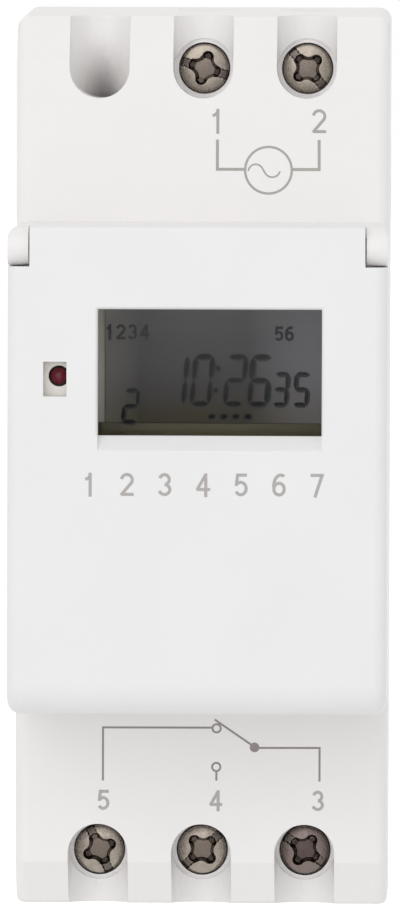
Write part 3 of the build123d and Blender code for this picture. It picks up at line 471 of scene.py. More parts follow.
def refined(node, name, material, edge, segments=2):
    """A copy of a CAD node, merged to flat faces, with its sharp edges rounded by edge metres."""
    bm = bmesh.new()
    bm.from_mesh(frame["nodes"][node].data)
    bmesh.ops.remove_doubles(bm, verts=bm.verts, dist=MERGED_BELOW)
    bmesh.ops.dissolve_limit(bm, angle_limit=FLAT_BELOW, verts=bm.verts, edges=bm.edges)
    source = shaded_object(name + "_source", mesh_from(bm, name + "_source"), material)
    source.data.set_sharp_from_angle(angle=math.pi)
    bevel = source.modifiers.new("edges", "BEVEL")
    bevel.width = edge
    bevel.segments = segments
    bevel.limit_method = "ANGLE"
    bevel.angle_limit = ROUNDED_ABOVE
    rounded = shaded_object(name, evaluated_mesh(source, name + "_rounded"), material)
    weighted = rounded.modifiers.new("flat_faces", "WEIGHTED_NORMAL")
    weighted.keep_sharp = True
    return new_object(name, evaluated_mesh(rounded, name))


def stand_in(obj, node):
    """obj stands for a CAD node: it rides on the node's body, and the node is hidden."""
    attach(obj, frame["nodes"][node]["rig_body"])
    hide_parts(node)


def remade(node, name, material, edge, segments=2):
    """A refined copy of a CAD node that stands for it."""
    piece = refined(node, name, material, edge, segments)
    stand_in(piece, node)
    return piece


def remake_all(finishes):
    """Remakes each node of {material: nodes}, under the node's own name with _piece."""
    for material, nodes in finishes.items():
        for node in nodes:
            remade(node, node + "_piece", material, SMALL_EDGE * MM, segments=1)


# Geometry Nodes helpers

def new_tree(name, inputs):
    """A Geometry Nodes tree with a geometry input and named inputs, and its group input's outputs."""
    tree = bpy.data.node_groups.new(name, "GeometryNodeTree")
    tree.interface.new_socket("Geometry", in_out="INPUT", socket_type="NodeSocketGeometry")
    for label, kind in inputs.items():
        tree.interface.new_socket(label, in_out="INPUT", socket_type="NodeSocket" + kind)
    tree.interface.new_socket("Geometry", in_out="OUTPUT", socket_type="NodeSocketGeometry")
    return tree, add(tree, "NodeGroupInput").outputs


def close_tree(tree, geometry, material):
    """Ends a tree in Realize Instances and Set Material."""
    real = add(tree, "GeometryNodeRealizeInstances", inputs={0: geometry})
    painted = add(tree, "GeometryNodeSetMaterial", inputs={"Geometry": real, "Material": material})
    add(tree, "NodeGroupOutput", inputs={0: painted})
    return tree


def grown(source, tree, values, name, material):
    """The plain mesh that a tree makes of source with these input values."""
    modifier = source.modifiers.new(tree.name, "NODES")
    modifier.node_group = tree
    values = dict(values, Material=material)
    for item in tree.interface.items_tree:
        if item.in_out == "INPUT" and item.name in values:
            modifier[item.identifier] = values[item.name]
    return shaded_object(name, evaluated_mesh(source, name), material)


def facing_front(tree, geometry, plane):
    """Stands a flat sketch upright at a depth, so that its upper side faces -Y."""
    depth = add(tree, "ShaderNodeCombineXYZ", inputs={"Y": plane})
    inputs = {"Geometry": geometry, "Translation": depth, "Rotation": (QUARTER_TURN, 0, 0)}
    return add(tree, "GeometryNodeTransform", inputs=inputs)


def wound(tree, given, radius, length, steps, wire, sides):
    """Wire wound round Z: its helix has so many steps a turn, and its section so many sides."""
    helix = add(tree, "GeometryNodeCurveSpiral", inputs={
        "Resolution": steps, "Rotations": given["Turns"], "Start Radius": radius, "End Radius": radius,
        "Height": length,
    })
    section = add(tree, "GeometryNodeCurvePrimitiveCircle", inputs={"Resolution": sides, "Radius": wire})
    inputs = {"Curve": helix, "Profile Curve": section, "Fill Caps": True}
    return add(tree, "GeometryNodeCurveToMesh", inputs=inputs)


def ink_lines_tree():
    """Lines of ink along a flat sketch's edges, as wide as its stroke attribute says."""
    tree, given = new_tree("ink_lines", {"Plane": "Float", "Film": "Float", "Material": "Material"})
    stroke = add(tree, "GeometryNodeInputNamedAttribute", {"data_type": "FLOAT"}, {"Name": "stroke"})
    curve = add(tree, "GeometryNodeMeshToCurve", inputs={0: given["Geometry"]})
    curve = add(tree, "GeometryNodeSetCurveNormal", {"mode": "Z_UP"}, {"Curve": curve})
    inputs = {"Width": 1.0, "Height": given["Film"]}
    outline = add(tree, "GeometryNodeCurvePrimitiveQuadrilateral", inputs=inputs)
    inputs = {"Curve": curve, "Profile Curve": outline, "Scale": stroke, "Fill Caps": True}
    ribbon = add(tree, "GeometryNodeCurveToMesh", inputs=inputs)
    return close_tree(tree, facing_front(tree, ribbon, given["Plane"]), given["Material"])


def lit_segments_tree():
    """A pointed bar on each point, by the point's turn, reach and stroke, all leaning by the slant."""
    inputs = dict.fromkeys(("Plane", "Widen", "Slant", "Film"), "Float")
    tree, given = new_tree("lit_segments", dict(inputs, Material="Material"))
    read = {}
    for name in ("turn", "reach", "stroke"):
        read[name] = add(tree, "GeometryNodeInputNamedAttribute", {"data_type": "FLOAT"}, {"Name": name})
    for name in ("reach", "stroke"):
        inputs = {0: read[name], 1: given["Widen"]}
        read[name] = add(tree, "ShaderNodeMath", {"operation": "ADD"}, inputs)
    inputs = {"X": read["reach"], "Y": read["stroke"], "Z": given["Film"]}
    size = add(tree, "ShaderNodeCombineXYZ", inputs=inputs)
    turn = add(tree, "ShaderNodeCombineXYZ", inputs={"Z": read["turn"]})
    bar = add(tree, "GeometryNodeMeshCylinder", inputs={"Vertices": 6, "Radius": 0.5, "Depth": 1.0})
    inputs = {"Points": given["Geometry"], "Instance": bar, "Rotation": turn, "Scale": size}
    bars = add(tree, "GeometryNodeInstanceOnPoints", inputs=inputs)
    bars = add(tree, "GeometryNodeRealizeInstances", inputs={0: bars})
    place = add(tree, "GeometryNodeInputPosition")
    height = add(tree, "ShaderNodeSeparateXYZ", inputs={0: place}).outputs["Y"]
    lean = add(tree, "ShaderNodeMath", {"operation": "MULTIPLY"}, {0: height, 1: given["Slant"]})
    offset = add(tree, "ShaderNodeCombineXYZ", inputs={"X": lean})
    leaning = add(tree, "GeometryNodeSetPosition", inputs={"Geometry": bars, "Offset": offset})
    return close_tree(tree, facing_front(tree, leaning, given["Plane"]), given["Material"])


def threaded_screw_tree():
    """A turned screw head and core, with a thread wound round its shank, put at its place."""
    inputs = dict.fromkeys(("Turn", "Thread radius", "Pitch", "Turns", "Thread start"), "Float")
    tree, given = new_tree("threaded_screw", dict(inputs, Place="Vector", Material="Material"))
    times = {"operation": "MULTIPLY"}
    length = add(tree, "ShaderNodeMath", times, {0: given["Pitch"], 1: given["Turns"]})
    ridge = add(tree, "ShaderNodeMath", times, {0: given["Pitch"], 1: RIDGE_SHARE})
    thread = wound(tree, given, given["Thread radius"], length, 28, ridge, 4)
    start = add(tree, "ShaderNodeCombineXYZ", inputs={"Z": given["Thread start"]})
    thread = add(tree, "GeometryNodeTransform", inputs={"Geometry": thread, "Translation": start})
    join = add(tree, "GeometryNodeJoinGeometry", inputs={0: thread})
    tree.links.new(given["Geometry"], join.inputs[0])
    spin = add(tree, "ShaderNodeCombineXYZ", inputs={"Z": given["Turn"]})
    turned = add(tree, "GeometryNodeTransform", inputs={"Geometry": join, "Rotation": spin})
    inputs = {"Geometry": turned, "Translation": given["Place"], "Rotation": (QUARTER_TURN, 0, 0)}
    placed = add(tree, "GeometryNodeTransform", inputs=inputs)
    return close_tree(tree, placed, given["Material"])


def coil_spring_tree():
    """Round wire wound into a compression spring along Z, from its lower end."""
    inputs = dict.fromkeys(("Coil radius", "Wire radius", "Length", "Turns"), "Float")
    tree, given = new_tree("coil_spring", dict(inputs, Place="Vector", Material="Material"))
    wire = wound(tree, given, given["Coil radius"], given["Length"], 24, given["Wire radius"], 8)
    placed = add(tree, "GeometryNodeTransform", inputs={"Geometry": wire, "Translation": given["Place"]})
    return close_tree(tree, placed, given["Material"])


# Flat sketches for the print and the display

def arc(cx, cy, rx, ry, start, end, steps=12):
    """Points on part of an ellipse, from a start to an end angle in degrees."""
    angles = [math.radians(start + (end - start) * i / steps) for i in range(steps + 1)]
    return [(cx + rx * math.cos(a), cy + ry * math.sin(a)) for a in angles]


def ring(cx, cy, radius, steps=24):
    """Points on a whole circle."""
    return arc(cx, cy, radius, radius, 0, 360, steps)


# Each sign's strokes in a box 1 high, its foot at 0 and its middle at 0.3
SIGNS = {
    "1": [[(0.36, 0.0), (0.36, 0.96)], [(0.13, 0.73), (0.24, 0.76), (0.32, 0.84), (0.36, 0.96)]],
    "2": [arc(0.30, 0.71, 0.25, 0.25, 172, -38), [(0.50, 0.56), (0.07, 0.06)],
          [(0.10, 0.04), (0.54, 0.04)]],
    "3": [arc(0.28, 0.73, 0.22, 0.23, 165, -85), arc(0.28, 0.27, 0.25, 0.23, 88, -165)],
    "4": [[(0.43, 0.0), (0.43, 0.95)], [(0.41, 0.93), (0.06, 0.32)], [(0.08, 0.28), (0.56, 0.28)]],
    "5": [[(0.14, 0.95), (0.50, 0.95)], [(0.14, 0.92), (0.09, 0.52)],
          arc(0.29, 0.33, 0.25, 0.29, 142, -150)],
    "6": [arc(0.30, 0.31, 0.24, 0.27, 0, 360, 24), arc(0.38, 0.42, 0.33, 0.54, 62, 182)],
    "7": [[(0.07, 0.95), (0.53, 0.95)], [(0.52, 0.93), (0.22, 0.0)]],
}


def placed_sign(sign, x, y, height):
    """A sign's strokes with its middle at x and its foot at y."""
    return [[(x + (px - 0.3) * height, y + py * height) for px, py in stroke] for stroke in SIGNS[sign]]


def sketch_of(strokes, name):
    """A flat mesh of edges from (points, stroke width) pairs in mm, each a hair above the one before.

    Straight strokes get square ends.
    """
    bm = bmesh.new()
    widths = bm.verts.layers.float.new("stroke")
    for layer, (points, width) in enumerate(strokes):
        points = [Vector(p) for p in points]
        if len(points) == 2:
            end = (points[1] - points[0]).normalized() * width / 2
            points = [points[0] - end, points[1] + end]
        verts = []
        for point in points:
            vert = bm.verts.new((point.x * MM, point.y * MM, layer * LAYER_STEP * MM))
            vert[widths] = width * MM
            verts.append(vert)
        for first, second in zip(verts, verts[1:]):
            bm.edges.new((first, second))
    return new_object(name, mesh_from(bm, name))


def ink_on(name, strokes, face_y, node, ink, tree):
    """Print on a face that looks to the front, riding on a CAD node's body."""
    thickness = INK_FILM * min(width for _, width in strokes)
    values = {"Plane": (face_y + thickness * INK_SUNK) * MM, "Film": INK_FILM}
    piece = grown(sketch_of(strokes, name + "_sketch"), tree, values, name, ink)
    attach(piece, frame["nodes"][node]["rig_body"])


def supply_sign(stroke):
    """Upper print: the strokes of numbers 1 and 2, and of their leads to an alternating supply."""
    signs = placed_sign("1", 1.3, 31.85, 2.2) + placed_sign("2", 11.2, 31.85, 2.2)
    leads = [
        [(1.4, 31.0), (1.4, 28.28)], [(1.4, 28.28), (3.95, 28.28)],
        [(8.75, 28.28), (11.22, 28.28)], [(11.22, 28.28), (11.21, 31.0)],
    ]
    circle = ring(6.33, 28.2, 2.25, 48)
    wave = arc(5.1, 28.05, 0.72, 0.72, 175, 35, 10) + arc(6.69, 28.3, 0.78, 0.77, 215, 345, 10)
    supply = [(circle, stroke * RING_STROKE), (wave, stroke * WAVE_STROKE)]
    return [(points, stroke) for points in signs + leads] + supply


def contact_sign(stroke):
    """Lower print: the strokes of numbers 5, 4 and 3, and those of the contact between their leads."""
    signs = []
    for sign, x in (("5", -9.45), ("4", 1.42), ("3", 11.33)):
        signs += placed_sign(sign, x, -33.68, 1.83)
    leads = [
        [(-9.5, -30.8), (-9.5, -25.74)], [(-9.5, -25.74), (1.0, -25.72)],
        [(1.39, -24.99), (4.85, -27.36)], [(5.6, -27.66), (11.46, -27.64)],
        [(11.46, -27.64), (11.46, -30.8)], [(1.48, -29.95), (1.48, -30.75)],
    ]
    rings = [ring(1.49, -25.78, 0.40), ring(1.47, -29.53, 0.40)]
    dot = (ring(5.17, -27.61, 0.235), 0.47)
    numbers = [(points, stroke * NUMBER_STROKE) for points in signs]
    return numbers, [(points, stroke) for points in leads + rings] + [dot]


def day_numbers(stroke):
    """The row of days 1 to 7 on the cover."""
    strokes = []
    for index in range(7):
        strokes += placed_sign(str(index + 1), -10.2 + index * 3.6, -2.25, 2.05)
    return [(points, stroke) for points in strokes]


# Marks on the keys' caps, in mm about each cap's middle
KEY_MARKS = {
    "key_clock": [ring(0, 0, 1.25, 32), [(0, 0), (0, 0.85)], [(0, 0), (0.6, -0.25)]],
    "key_program": [[(-1.0, 0.7), (1.0, 0.7)], [(-1.0, 0), (1.0, 0)], [(-1.0, -0.7), (1.0, -0.7)]],
    "key_manual": [arc(0, -0.1, 1.1, 1.1, 125, 415, 32), [(0, 0.1), (0, 1.2)]],
    "key_cancel": [[(-0.8, -0.8), (0.8, 0.8)], [(-0.8, 0.8), (0.8, -0.8)]],
    "key_day": [[(-1.0, -0.9), (1.0, -0.9)], [(-1.0, 0.9), (1.0, 0.9)], [(-1.0, -0.9), (-1.0, 0.9)],
                [(1.0, -0.9), (1.0, 0.9)], [(-1.0, 0.4), (1.0, 0.4)]],
    "key_hour": [[(-0.9, -0.3), (0, 0.6)], [(0, 0.6), (0.9, -0.3)]],
    "key_minute": [[(-0.9, -0.8), (0, 0.1)], [(0, 0.1), (0.9, -0.8)], [(-0.9, 0.1), (0, 1.0)],
                   [(0, 1.0), (0.9, 0.1)]],
    "key_reset": [ring(0, 0, 0.45, 20)],
}

# Which bars of a seven-bar figure are lit: top, right pair, bottom, left pair, middle
LIT_BARS = {
    "0": "abcdef", "1": "bc", "2": "abged", "3": "abgcd", "4": "fgbc",
    "5": "afgcd", "6": "afgedc", "7": "abc", "8": "abcdefg", "9": "abcdfg",
}


def figure_bars(figure, x, y, width, height):
    """(x, y, turn, reach) of each lit bar of a figure whose lower left corner is at x, y."""
    flat, upright = 0.0, QUARTER_TURN
    tall = height / 2
    bars = {
        "a": (x + width / 2, y + height, flat, width), "g": (x + width / 2, y + tall, flat, width),
        "d": (x + width / 2, y, flat, width), "f": (x, y + 1.5 * tall, upright, tall),
        "b": (x + width, y + 1.5 * tall, upright, tall), "e": (x, y + tall / 2, upright, tall),
        "c": (x + width, y + tall / 2, upright, tall),
    }
    return [bars[letter] for letter in LIT_BARS[figure]]


def display_bars(props):
    """(x, y, turn, reach, stroke) in mm of every bar that the display shows."""
    # figures, x and y of the first, width, height, pitch, stroke
    rows = [
        (f"{props.hours:02d}", -3.65, 6.12, 1.62, 4.5, 2.42, 0.56),
        (f"{props.minutes:02d}", 1.95, 6.12, 1.62, 4.5, 2.3, 0.56),
        (f"{props.seconds:02d}", 6.55, 6.12, 1.15, 2.9, 1.95, 0.38),
        (f"{props.programme:d}", -7.65, 4.4, 1.25, 3.0, 0, 0.42),
    ]
    bars = []
    for figures, x, y, width, height, pitch, stroke in rows:
        for place, figure in enumerate(figures):
            bars += [bar + (stroke,) for bar in figure_bars(figure, x + place * pitch, y, width, height)]
    colon = [(0.95, y, 0.0, 0.5, 0.5) for y in (7.4, 9.5)]
    flags = [(x, 4.9, 0.0, 0.75, 0.55) for x in (0.8, 1.95, 3.1, 4.25)]
    return bars + colon + flags


def small_signs():
    """The display's small numbers: 1 to 4 at the upper left, 5 and 6 at the upper right."""
    signs = []
    for index in range(4):
        signs += placed_sign(str(index + 1), -8.6 + index * 1.13, 12.3, 1.3)
    for index in range(2):
        signs += placed_sign(str(index + 5), 7.6 + index * 1.0, 12.2, 1.25)
    return [(points, SMALL_STROKE) for points in signs]


def bar_points(bars, name, shift):
    """A mesh of one point for each bar, with what the tree needs to draw it."""
    bm = bmesh.new()
    layers = [bm.verts.layers.float.new(label) for label in ("turn", "reach", "stroke")]
    for x, y, turn, reach, stroke in bars:
        vert = bm.verts.new(((x + shift[0]) * MM, (y + shift[1]) * MM, 0))
        for layer, value in zip(layers, (turn, reach * MM, stroke * MM)):
            vert[layer] = value
    return new_object(name, mesh_from(bm, name))


# The terminal screw's head

def head_height(u, v, props):
    """Height of a screw head's face at u, v: a low dome with a cross recess and a long slot."""
    r = math.hypot(u, v)
    edge = max(0.0, r - (props.radius - props.edge_roll))
    dome = props.dome * (r / props.radius) ** 2
    roll = props.edge_roll - math.sqrt(max(0.0, props.edge_roll ** 2 - edge ** 2))
    across, along = sorted((abs(u), abs(v)))
    corner = props.wing + props.fillet
    inside = props.wing - math.hypot(across, max(0.0, along - props.reach + props.wing))
    if along < corner:
        inside = math.hypot(corner - across, corner - along) - props.fillet
    taper = min(1.0, max(0.0, (props.reach - r) / (props.reach - props.floor_radius)))
    deepest = props.depth * (WING_TIP_DEPTH + (1 - WING_TIP_DEPTH) * taper)
    cross = max(0.0, min(inside * CROSS_WALL, deepest))
    slot = max(0.0, min((props.slot - abs(v)) * SLOT_WALL, props.slot_depth))
    return -dome - roll - max(cross, slot)


def turned_screw(props, length):
    """A screw without its thread, as a closed mesh about Z with the head's face up at the origin."""
    turns = [2 * math.pi * step / HEAD_STEPS for step in range(HEAD_STEPS)]
    circle = [(math.cos(turn), math.sin(turn)) for turn in turns]
    rows = []
    for number in range(1, HEAD_RINGS + 1):
        radius = props.radius * number / HEAD_RINGS
        points = [(radius * x, radius * y) for x, y in circle]
        rows.append([(u, v, head_height(u, v, props)) for u, v in points])
    under, core, taper = -HEAD_DEPTH * MM, props.core, CORE_TAPER * MM
    shank = ((props.radius, under), (core, under), (core, taper - length), (core - taper, -length))
    for radius, z in shank:
        rows.append([(radius * x, radius * y, z) for x, y in circle])
    bm = bmesh.new()
    centre = bm.verts.new((0, 0, head_height(0, 0, props)))
    made = [[bm.verts.new(point) for point in row] for row in rows]
    tip = bm.verts.new((0, 0, -length))
    for step in range(HEAD_STEPS):
        after = (step + 1) % HEAD_STEPS
        bm.faces.new((centre, made[0][step], made[0][after]))
        bm.faces.new((tip, made[-1][after], made[-1][step]))
        for inner, outer in zip(made, made[1:]):
            bm.faces.new((inner[step], outer[step], outer[after], inner[after]))
    return mesh_from(bm, "turned_screw")


# Settings

def tone(name, description, colour):
    """A colour setting, given as an sRGB hex value."""
    return FloatVectorProperty(name=name, description=description, default=linear(colour), size=4,
                               min=0.0, max=1.0, subtype="COLOR")


def measure(name, description, millimetres):
    """A length setting, given in mm and held in metres."""
    return FloatProperty(name=name, description=description, default=millimetres * MM, min=0.0,
                         unit="LENGTH", precision=5)


def angle(name, description, degrees):
    """An angle setting, given in degrees and held in radians."""
    return FloatProperty(name=name, description=description, default=math.radians(degrees),
                         subtype="ANGLE")


class TimeSwitchCase(bpy.types.PropertyGroup):
    """Colours and edges of the mouldings."""
    housing: tone("Housing", "Colour of the two housings", "#F1EFEE")
    housing_shade: tone("Housing shade", "Its cloudier tone", "#EFEDEC")
    panel: tone("Panel", "Colour of the panel behind the cover", "#F8F3EB")
    panel_shade: tone("Panel shade", "Its cloudier tone", "#F5F0E8")
    cover: tone("Cover", "Colour of the flip cover", "#ECECEC")
    cover_shade: tone("Cover shade", "Its cloudier tone", "#EAEAEA")
    keys: tone("Keys", "Colour of the keys", "#B9BBBD")
    edge: measure("Edge", "Rounding of the housings' sharp edges", 0.14)


class TimeSwitchDisplay(bpy.types.PropertyGroup):
    """What the display shows, and the tones of the display and the lamp."""
    hours: IntProperty(name="Hours", description="Hours shown", default=10, min=0, max=23)
    minutes: IntProperty(name="Minutes", description="Minutes shown", default=26, min=0, max=59)
    seconds: IntProperty(name="Seconds", description="Seconds shown", default=35, min=0, max=59)
    programme: IntProperty(name="Programme", description="Small figure", default=2, min=0, max=9)
    # The film's tones from its lower edge to its top: its own olive and slate under a painted reflection,
    # lighter upwards
    film_edge: tone("Film, edge", "Colour along the lower edge", "#4A463B")
    film_low: tone("Film, low", "Colour above that edge", "#504E4E")
    film_middle: tone("Film, middle", "Colour halfway up", "#605F60")
    film_high: tone("Film, top", "Colour at the top", "#7A797A")
    # The figures' tones, top and low down, carry the same painted reflection as the film
    figures: tone("Figures", "Colour of the lit bars", "#3C3C3D")
    figures_low: tone("Figures, low", "The same low down", "#262626")
    shadow: tone("Shadow", "Colour of the bars' shadow and of the small signs", "#4E4D4F")
    shadow_low: tone("Shadow, low", "The same low down", "#484847")
    glass: tone("Glass", "Colour of the bare glass up the left", "#B9B5AB")
    glass_low: tone("Glass, low", "Colour of the band below the film", "#5E5947")
    slant: FloatProperty(name="Slant", description="Lean of the figures, as a slope", default=0.085)
    lamp: tone("Lamp", "Colour of the lamp", "#6A1E2D")
    # The lamp's rim colour is partly its thick resin and partly painted shade of the gap round the lamp
    lamp_rim: tone("Lamp rim", "Colour at the lamp's rim", "#1D1113")


class TimeSwitchPrint(bpy.types.PropertyGroup):
    """The print on the case and the keys."""
    ink: tone("Ink", "Colour of the supply sign and its numbers", "#A5A19D")
    ink_shade: tone("Ink shade", "Where it covers thinly", "#AFABA7")
    dark_ink: tone("Dark ink", "Colour of the contact sign", "#8A8285")
    dark_shade: tone("Dark ink shade", "Where it covers thinly", "#989093")
    day_ink: tone("Pale ink", "Colour of the days and the lower numbers", "#ABA6A4")
    day_shade: tone("Pale ink shade", "Where it covers thinly", "#B4B0AE")
    upper_stroke: measure("Upper stroke", "Line width of the supply sign", 0.29)
    lower_stroke: measure("Lower stroke", "Line width of the contact sign", 0.20)
    day_stroke: measure("Day stroke", "Line width of the days", 0.3)
    key_stroke: measure("Key stroke", "Line width on the keys", 0.22)


class TimeSwitchScrews(bpy.types.PropertyGroup):
    """The terminal screws."""
    radius: measure("Radius", "Of the head", 2.38)
    dome: measure("Dome", "How far the head's rim lies below its middle", 0.2)
    edge_roll: measure("Edge", "Rounding of the rim", 0.28)
    wing: measure("Wing", "Half width of the cross recess", 0.52)
    fillet: measure("Fillet", "Rounding of its four inner corners", 0.88)
    reach: measure("Reach", "How far the cross recess reaches", 1.7)
    floor_radius: measure("Floor", "Radius of the recess's flat floor", 0.95)
    depth: measure("Depth", "Depth of the cross recess", 1.15)
    slot: measure("Slot", "Half width of the long slot", 0.42)
    slot_depth: measure("Slot depth", "Depth of the long slot", 0.4)
    core: measure("Core", "Radius of the shank under its thread", 1.62)
    pitch: measure("Pitch", "Of the thread", 0.7)
    face: tone("Face", "Colour of the plating on the head", "#999086")
    walls: tone("Walls", "Colour of the recess's walls", "#635A55")
    floor: tone("Recess floor", "Colour of the recess's floor", "#696059")
    worn_face: tone("Worn face", "The same on the worn screw", "#766A66")
    worn_floor: tone("Worn floor", "The same on the worn screw", "#4C413F")


class TimeSwitchStage(bpy.types.PropertyGroup):
    """Camera and light."""
    azimuth: angle("Azimuth", "Camera to the right of the front", 1.452)
    elevation: angle("Elevation", "Camera above the level", 2.616)
    roll: angle("Roll", "Camera roll", 0.171)
    distance: measure("Distance", "Camera to target", 932.985)
    target: FloatVectorProperty(name="Target", description="What the camera looks at", unit="LENGTH",
                                subtype="TRANSLATION", default=(0.000313, -0.0595, 0.001397))
    lens: FloatProperty(name="Lens", description="Focal length for a 36 mm long side", default=388.54,
                        unit="CAMERA")
    sky: FloatProperty(name="Sky", description="Strength of the plain light from all round", default=0.8)
    key: FloatProperty(name="Front light", description="Power of the large soft lamp in front",
                       default=3.1, unit="POWER")


# Operators

class MakeMouldings(bpy.types.Operator):
    """Make the front and rear mouldings and the rail latch"""
    bl_idname = "time_switch.mouldings"
    bl_label = "Mouldings"

    def execute(self, context):
        props = context.scene.time_switch_case
        white = moulded_abs("moulded_abs_white", props.housing, props.housing_shade)
        front = remade("front_housing", "front_moulding", white, props.edge)
        tint_panel(front, moulded_abs("moulded_abs_panel", props.panel, props.panel_shade))
        remade("rear_housing", "rear_moulding", white, props.edge)
        nylon = moulded_abs("moulded_nylon_latch", "#DAD8D3", "#D4D2CD")
        remade("rail_latch", "latch_slide", nylon, LATCH_EDGE * MM)
        return {"FINISHED"}


def tint_panel(front, material):
    """Gives the panel behind the cover, with the boss round the lamp, its creamier plastic."""
    front.data.materials.append(material)
    for face in front.data.polygons:
        if face.center.y < (PANEL_Y + BEHIND_PANEL) * MM and abs(face.center.x) < EARS_FROM * MM:
            face.material_index = 1


class MakeSpring(bpy.types.Operator):
    """Make the latch's compression spring"""
    bl_idname = "time_switch.spring"
    bl_label = "Latch spring"

    def execute(self, context):
        steel = plated_metal("drawn_spring_steel", "#9A9894", "#83817D", (0.25, 0.4), 0.2)
        low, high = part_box("latch_spring")
        wire = SPRING_WIRE * MM / 2
        values = {
            "Place": ((low.x + high.x) / 2, (low.y + high.y) / 2, low.z + wire),
            "Coil radius": (high.x - low.x) / 2 - wire, "Wire radius": wire,
            "Length": high.z - low.z - 2 * wire, "Turns": SPRING_TURNS,
        }
        empty = new_object("spring_source", bpy.data.meshes.new("spring_source"))
        spring = grown(empty, coil_spring_tree(), values, "latch_coil_spring", steel)
        stand_in(spring, "latch_spring")
        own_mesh(spring)
        return {"FINISHED"}


class MakeCover(bpy.types.Operator):
    """Make the flip cover"""
    bl_idname = "time_switch.cover"
    bl_label = "Cover"

    def execute(self, context):
        props = context.scene.time_switch_case
        white = moulded_abs("moulded_abs_cover", props.cover, props.cover_shade)
        remade("flip_cover", "cover_moulding", white, COVER_EDGE * MM)
        return {"FINISHED"}


class MakeDisplay(bpy.types.Operator):
    """Make the display's lens, film, glass and figures, and the lamp"""
    bl_idname = "time_switch.display"
    bl_label = "Display"

    def execute(self, context):
        props = context.scene.time_switch_display
        remake_all({
            clear_acrylic(): ["display_lens"],
            polariser(props): ["display_polariser"],
            display_pane(props): ["display_glass"],
            brushed_foil(): ["display_reflector"],
            moulded_abs("moulded_black_frame", "#1C1C1C", "#222222"): ["display_frame"],
            layered_rubber(): ["contact_strips"],
            lamp_resin(props): ["status_lamp"],
        })
        film_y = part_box("display_polariser")[0].y / MM
        lit = liquid_crystal("lit_crystal", props.figures, props.figures_low)
        shade = liquid_crystal("crystal_shadow", props.shadow, props.shadow_low)
        bars, tree = display_bars(props), lit_segments_tree()
        # name, material, shift across the film, growth and height above the film, in mm
        layers = (
            ("figure_shadows", shade, (0.12, -0.12), 0.18, 0.02),
            ("figure_bars", lit, (0.0, 0.0), 0.0, 0.05),
        )
        for name, material, shift, widen, rise in layers:
            values = {
                "Plane": (film_y - rise) * MM, "Widen": widen * MM, "Slant": props.slant,
                "Film": SEGMENT_FILM * MM,
            }
            piece = grown(bar_points(bars, name + "_points", shift), tree, values, name, material)
            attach(piece, frame["nodes"]["display_polariser"]["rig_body"])
        signs_y, tree = film_y - SIGNS_RISE, ink_lines_tree()
        ink_on("display_signs", small_signs(), signs_y, "display_polariser", shade, tree)
        return {"FINISHED"}


class MakeKeys(bpy.types.Operator):
    """Make the keys and their marks"""
    bl_idname = "time_switch.keys"
    bl_label = "Keys"

    def execute(self, context):
        props = context.scene.time_switch_case
        stroke = context.scene.time_switch_print.key_stroke / MM
        grey = moulded_abs("moulded_key_grey", props.keys, "#B3B5B7")
        ink = pad_print("dark_pad_print", "#3A3C3F", "#46484B")
        tree = ink_lines_tree()
        for node, marks in KEY_MARKS.items():
            remade(node, node + "_cap", grey, KEY_EDGE * MM)
            low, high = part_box(node)
            x, z = (low.x + high.x) / 2 / MM, (low.z + high.z) / 2 / MM
            strokes = [([(x + u, z + v) for u, v in points], stroke) for points in marks]
            ink_on(node + "_mark", strokes, low.y / MM, node, ink, tree)
        return {"FINISHED"}


class MakeTerminals(bpy.types.Operator):
    """Make the terminal screws, their clamp cages and bars"""
    bl_idname = "time_switch.terminals"
    bl_label = "Terminals"

    def execute(self, context):
        props = context.scene.time_switch_screws
        nickel = screw_plating("tarnished_nickel_plate", props.face, props.walls, props.floor)
        worn = screw_plating("worn_nickel_plate", props.worn_face, props.walls, props.worn_floor)
        zinc = plated_metal("zinc_plated_steel", "#C9C6B8", "#B1AE9F", (0.28, 0.45))
        tin = plated_metal("tinned_brass", "#CDBE8C", "#B8A878", (0.25, 0.4))
        tree = threaded_screw_tree()
        for number, turn in SCREW_TURN.items():
            low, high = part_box(f"terminal_screw_{number}")
            length = high.y - low.y
            values = {
                "Place": ((low.x + high.x) / 2, low.y, (low.z + high.z) / 2), "Turn": math.radians(turn),
                "Thread radius": props.core, "Pitch": props.pitch, "Turns": THREAD_TURNS,
                "Thread start": THREAD_ABOVE_TIP * MM - length,
            }
            source = new_object(f"screw_source_{number}", turned_screw(props, length))
            plating = worn if number == WORN_SCREW else nickel
            screw = grown(source, tree, values, f"clamp_screw_{number}", plating)
            stand_in(screw, f"terminal_screw_{number}")
        remake_all({
            zinc: [f"terminal_cage_{number}" for number in SCREW_TURN],
            tin: [f"terminal_bar_{number}" for number in SCREW_TURN],
        })
        return {"FINISHED"}


class MakePrint(bpy.types.Operator):
    """Make the print on the shoulders and the cover"""
    bl_idname = "time_switch.print"
    bl_label = "Print"

    def execute(self, context):
        props = context.scene.time_switch_print
        ink = pad_print("grey_pad_print", props.ink, props.ink_shade)
        day_ink = pad_print("pale_pad_print", props.day_ink, props.day_shade)
        dark_ink = pad_print("mauve_pad_print", props.dark_ink, props.dark_shade)
        tree = ink_lines_tree()
        numbers, contact = contact_sign(props.lower_stroke / MM)
        prints = (
            ("supply_print", supply_sign(props.upper_stroke / MM), SHOULDER_Y, "front_housing", ink),
            ("contact_print", contact, SHOULDER_Y, "front_housing", dark_ink),
            ("number_print", numbers, SHOULDER_Y, "front_housing", day_ink),
            ("day_print", day_numbers(props.day_stroke / MM), COVER_Y, "flip_cover", day_ink),
        )
        for name, strokes, face_y, node, colour in prints:
            ink_on(name, strokes, face_y, node, colour, tree)
        return {"FINISHED"}


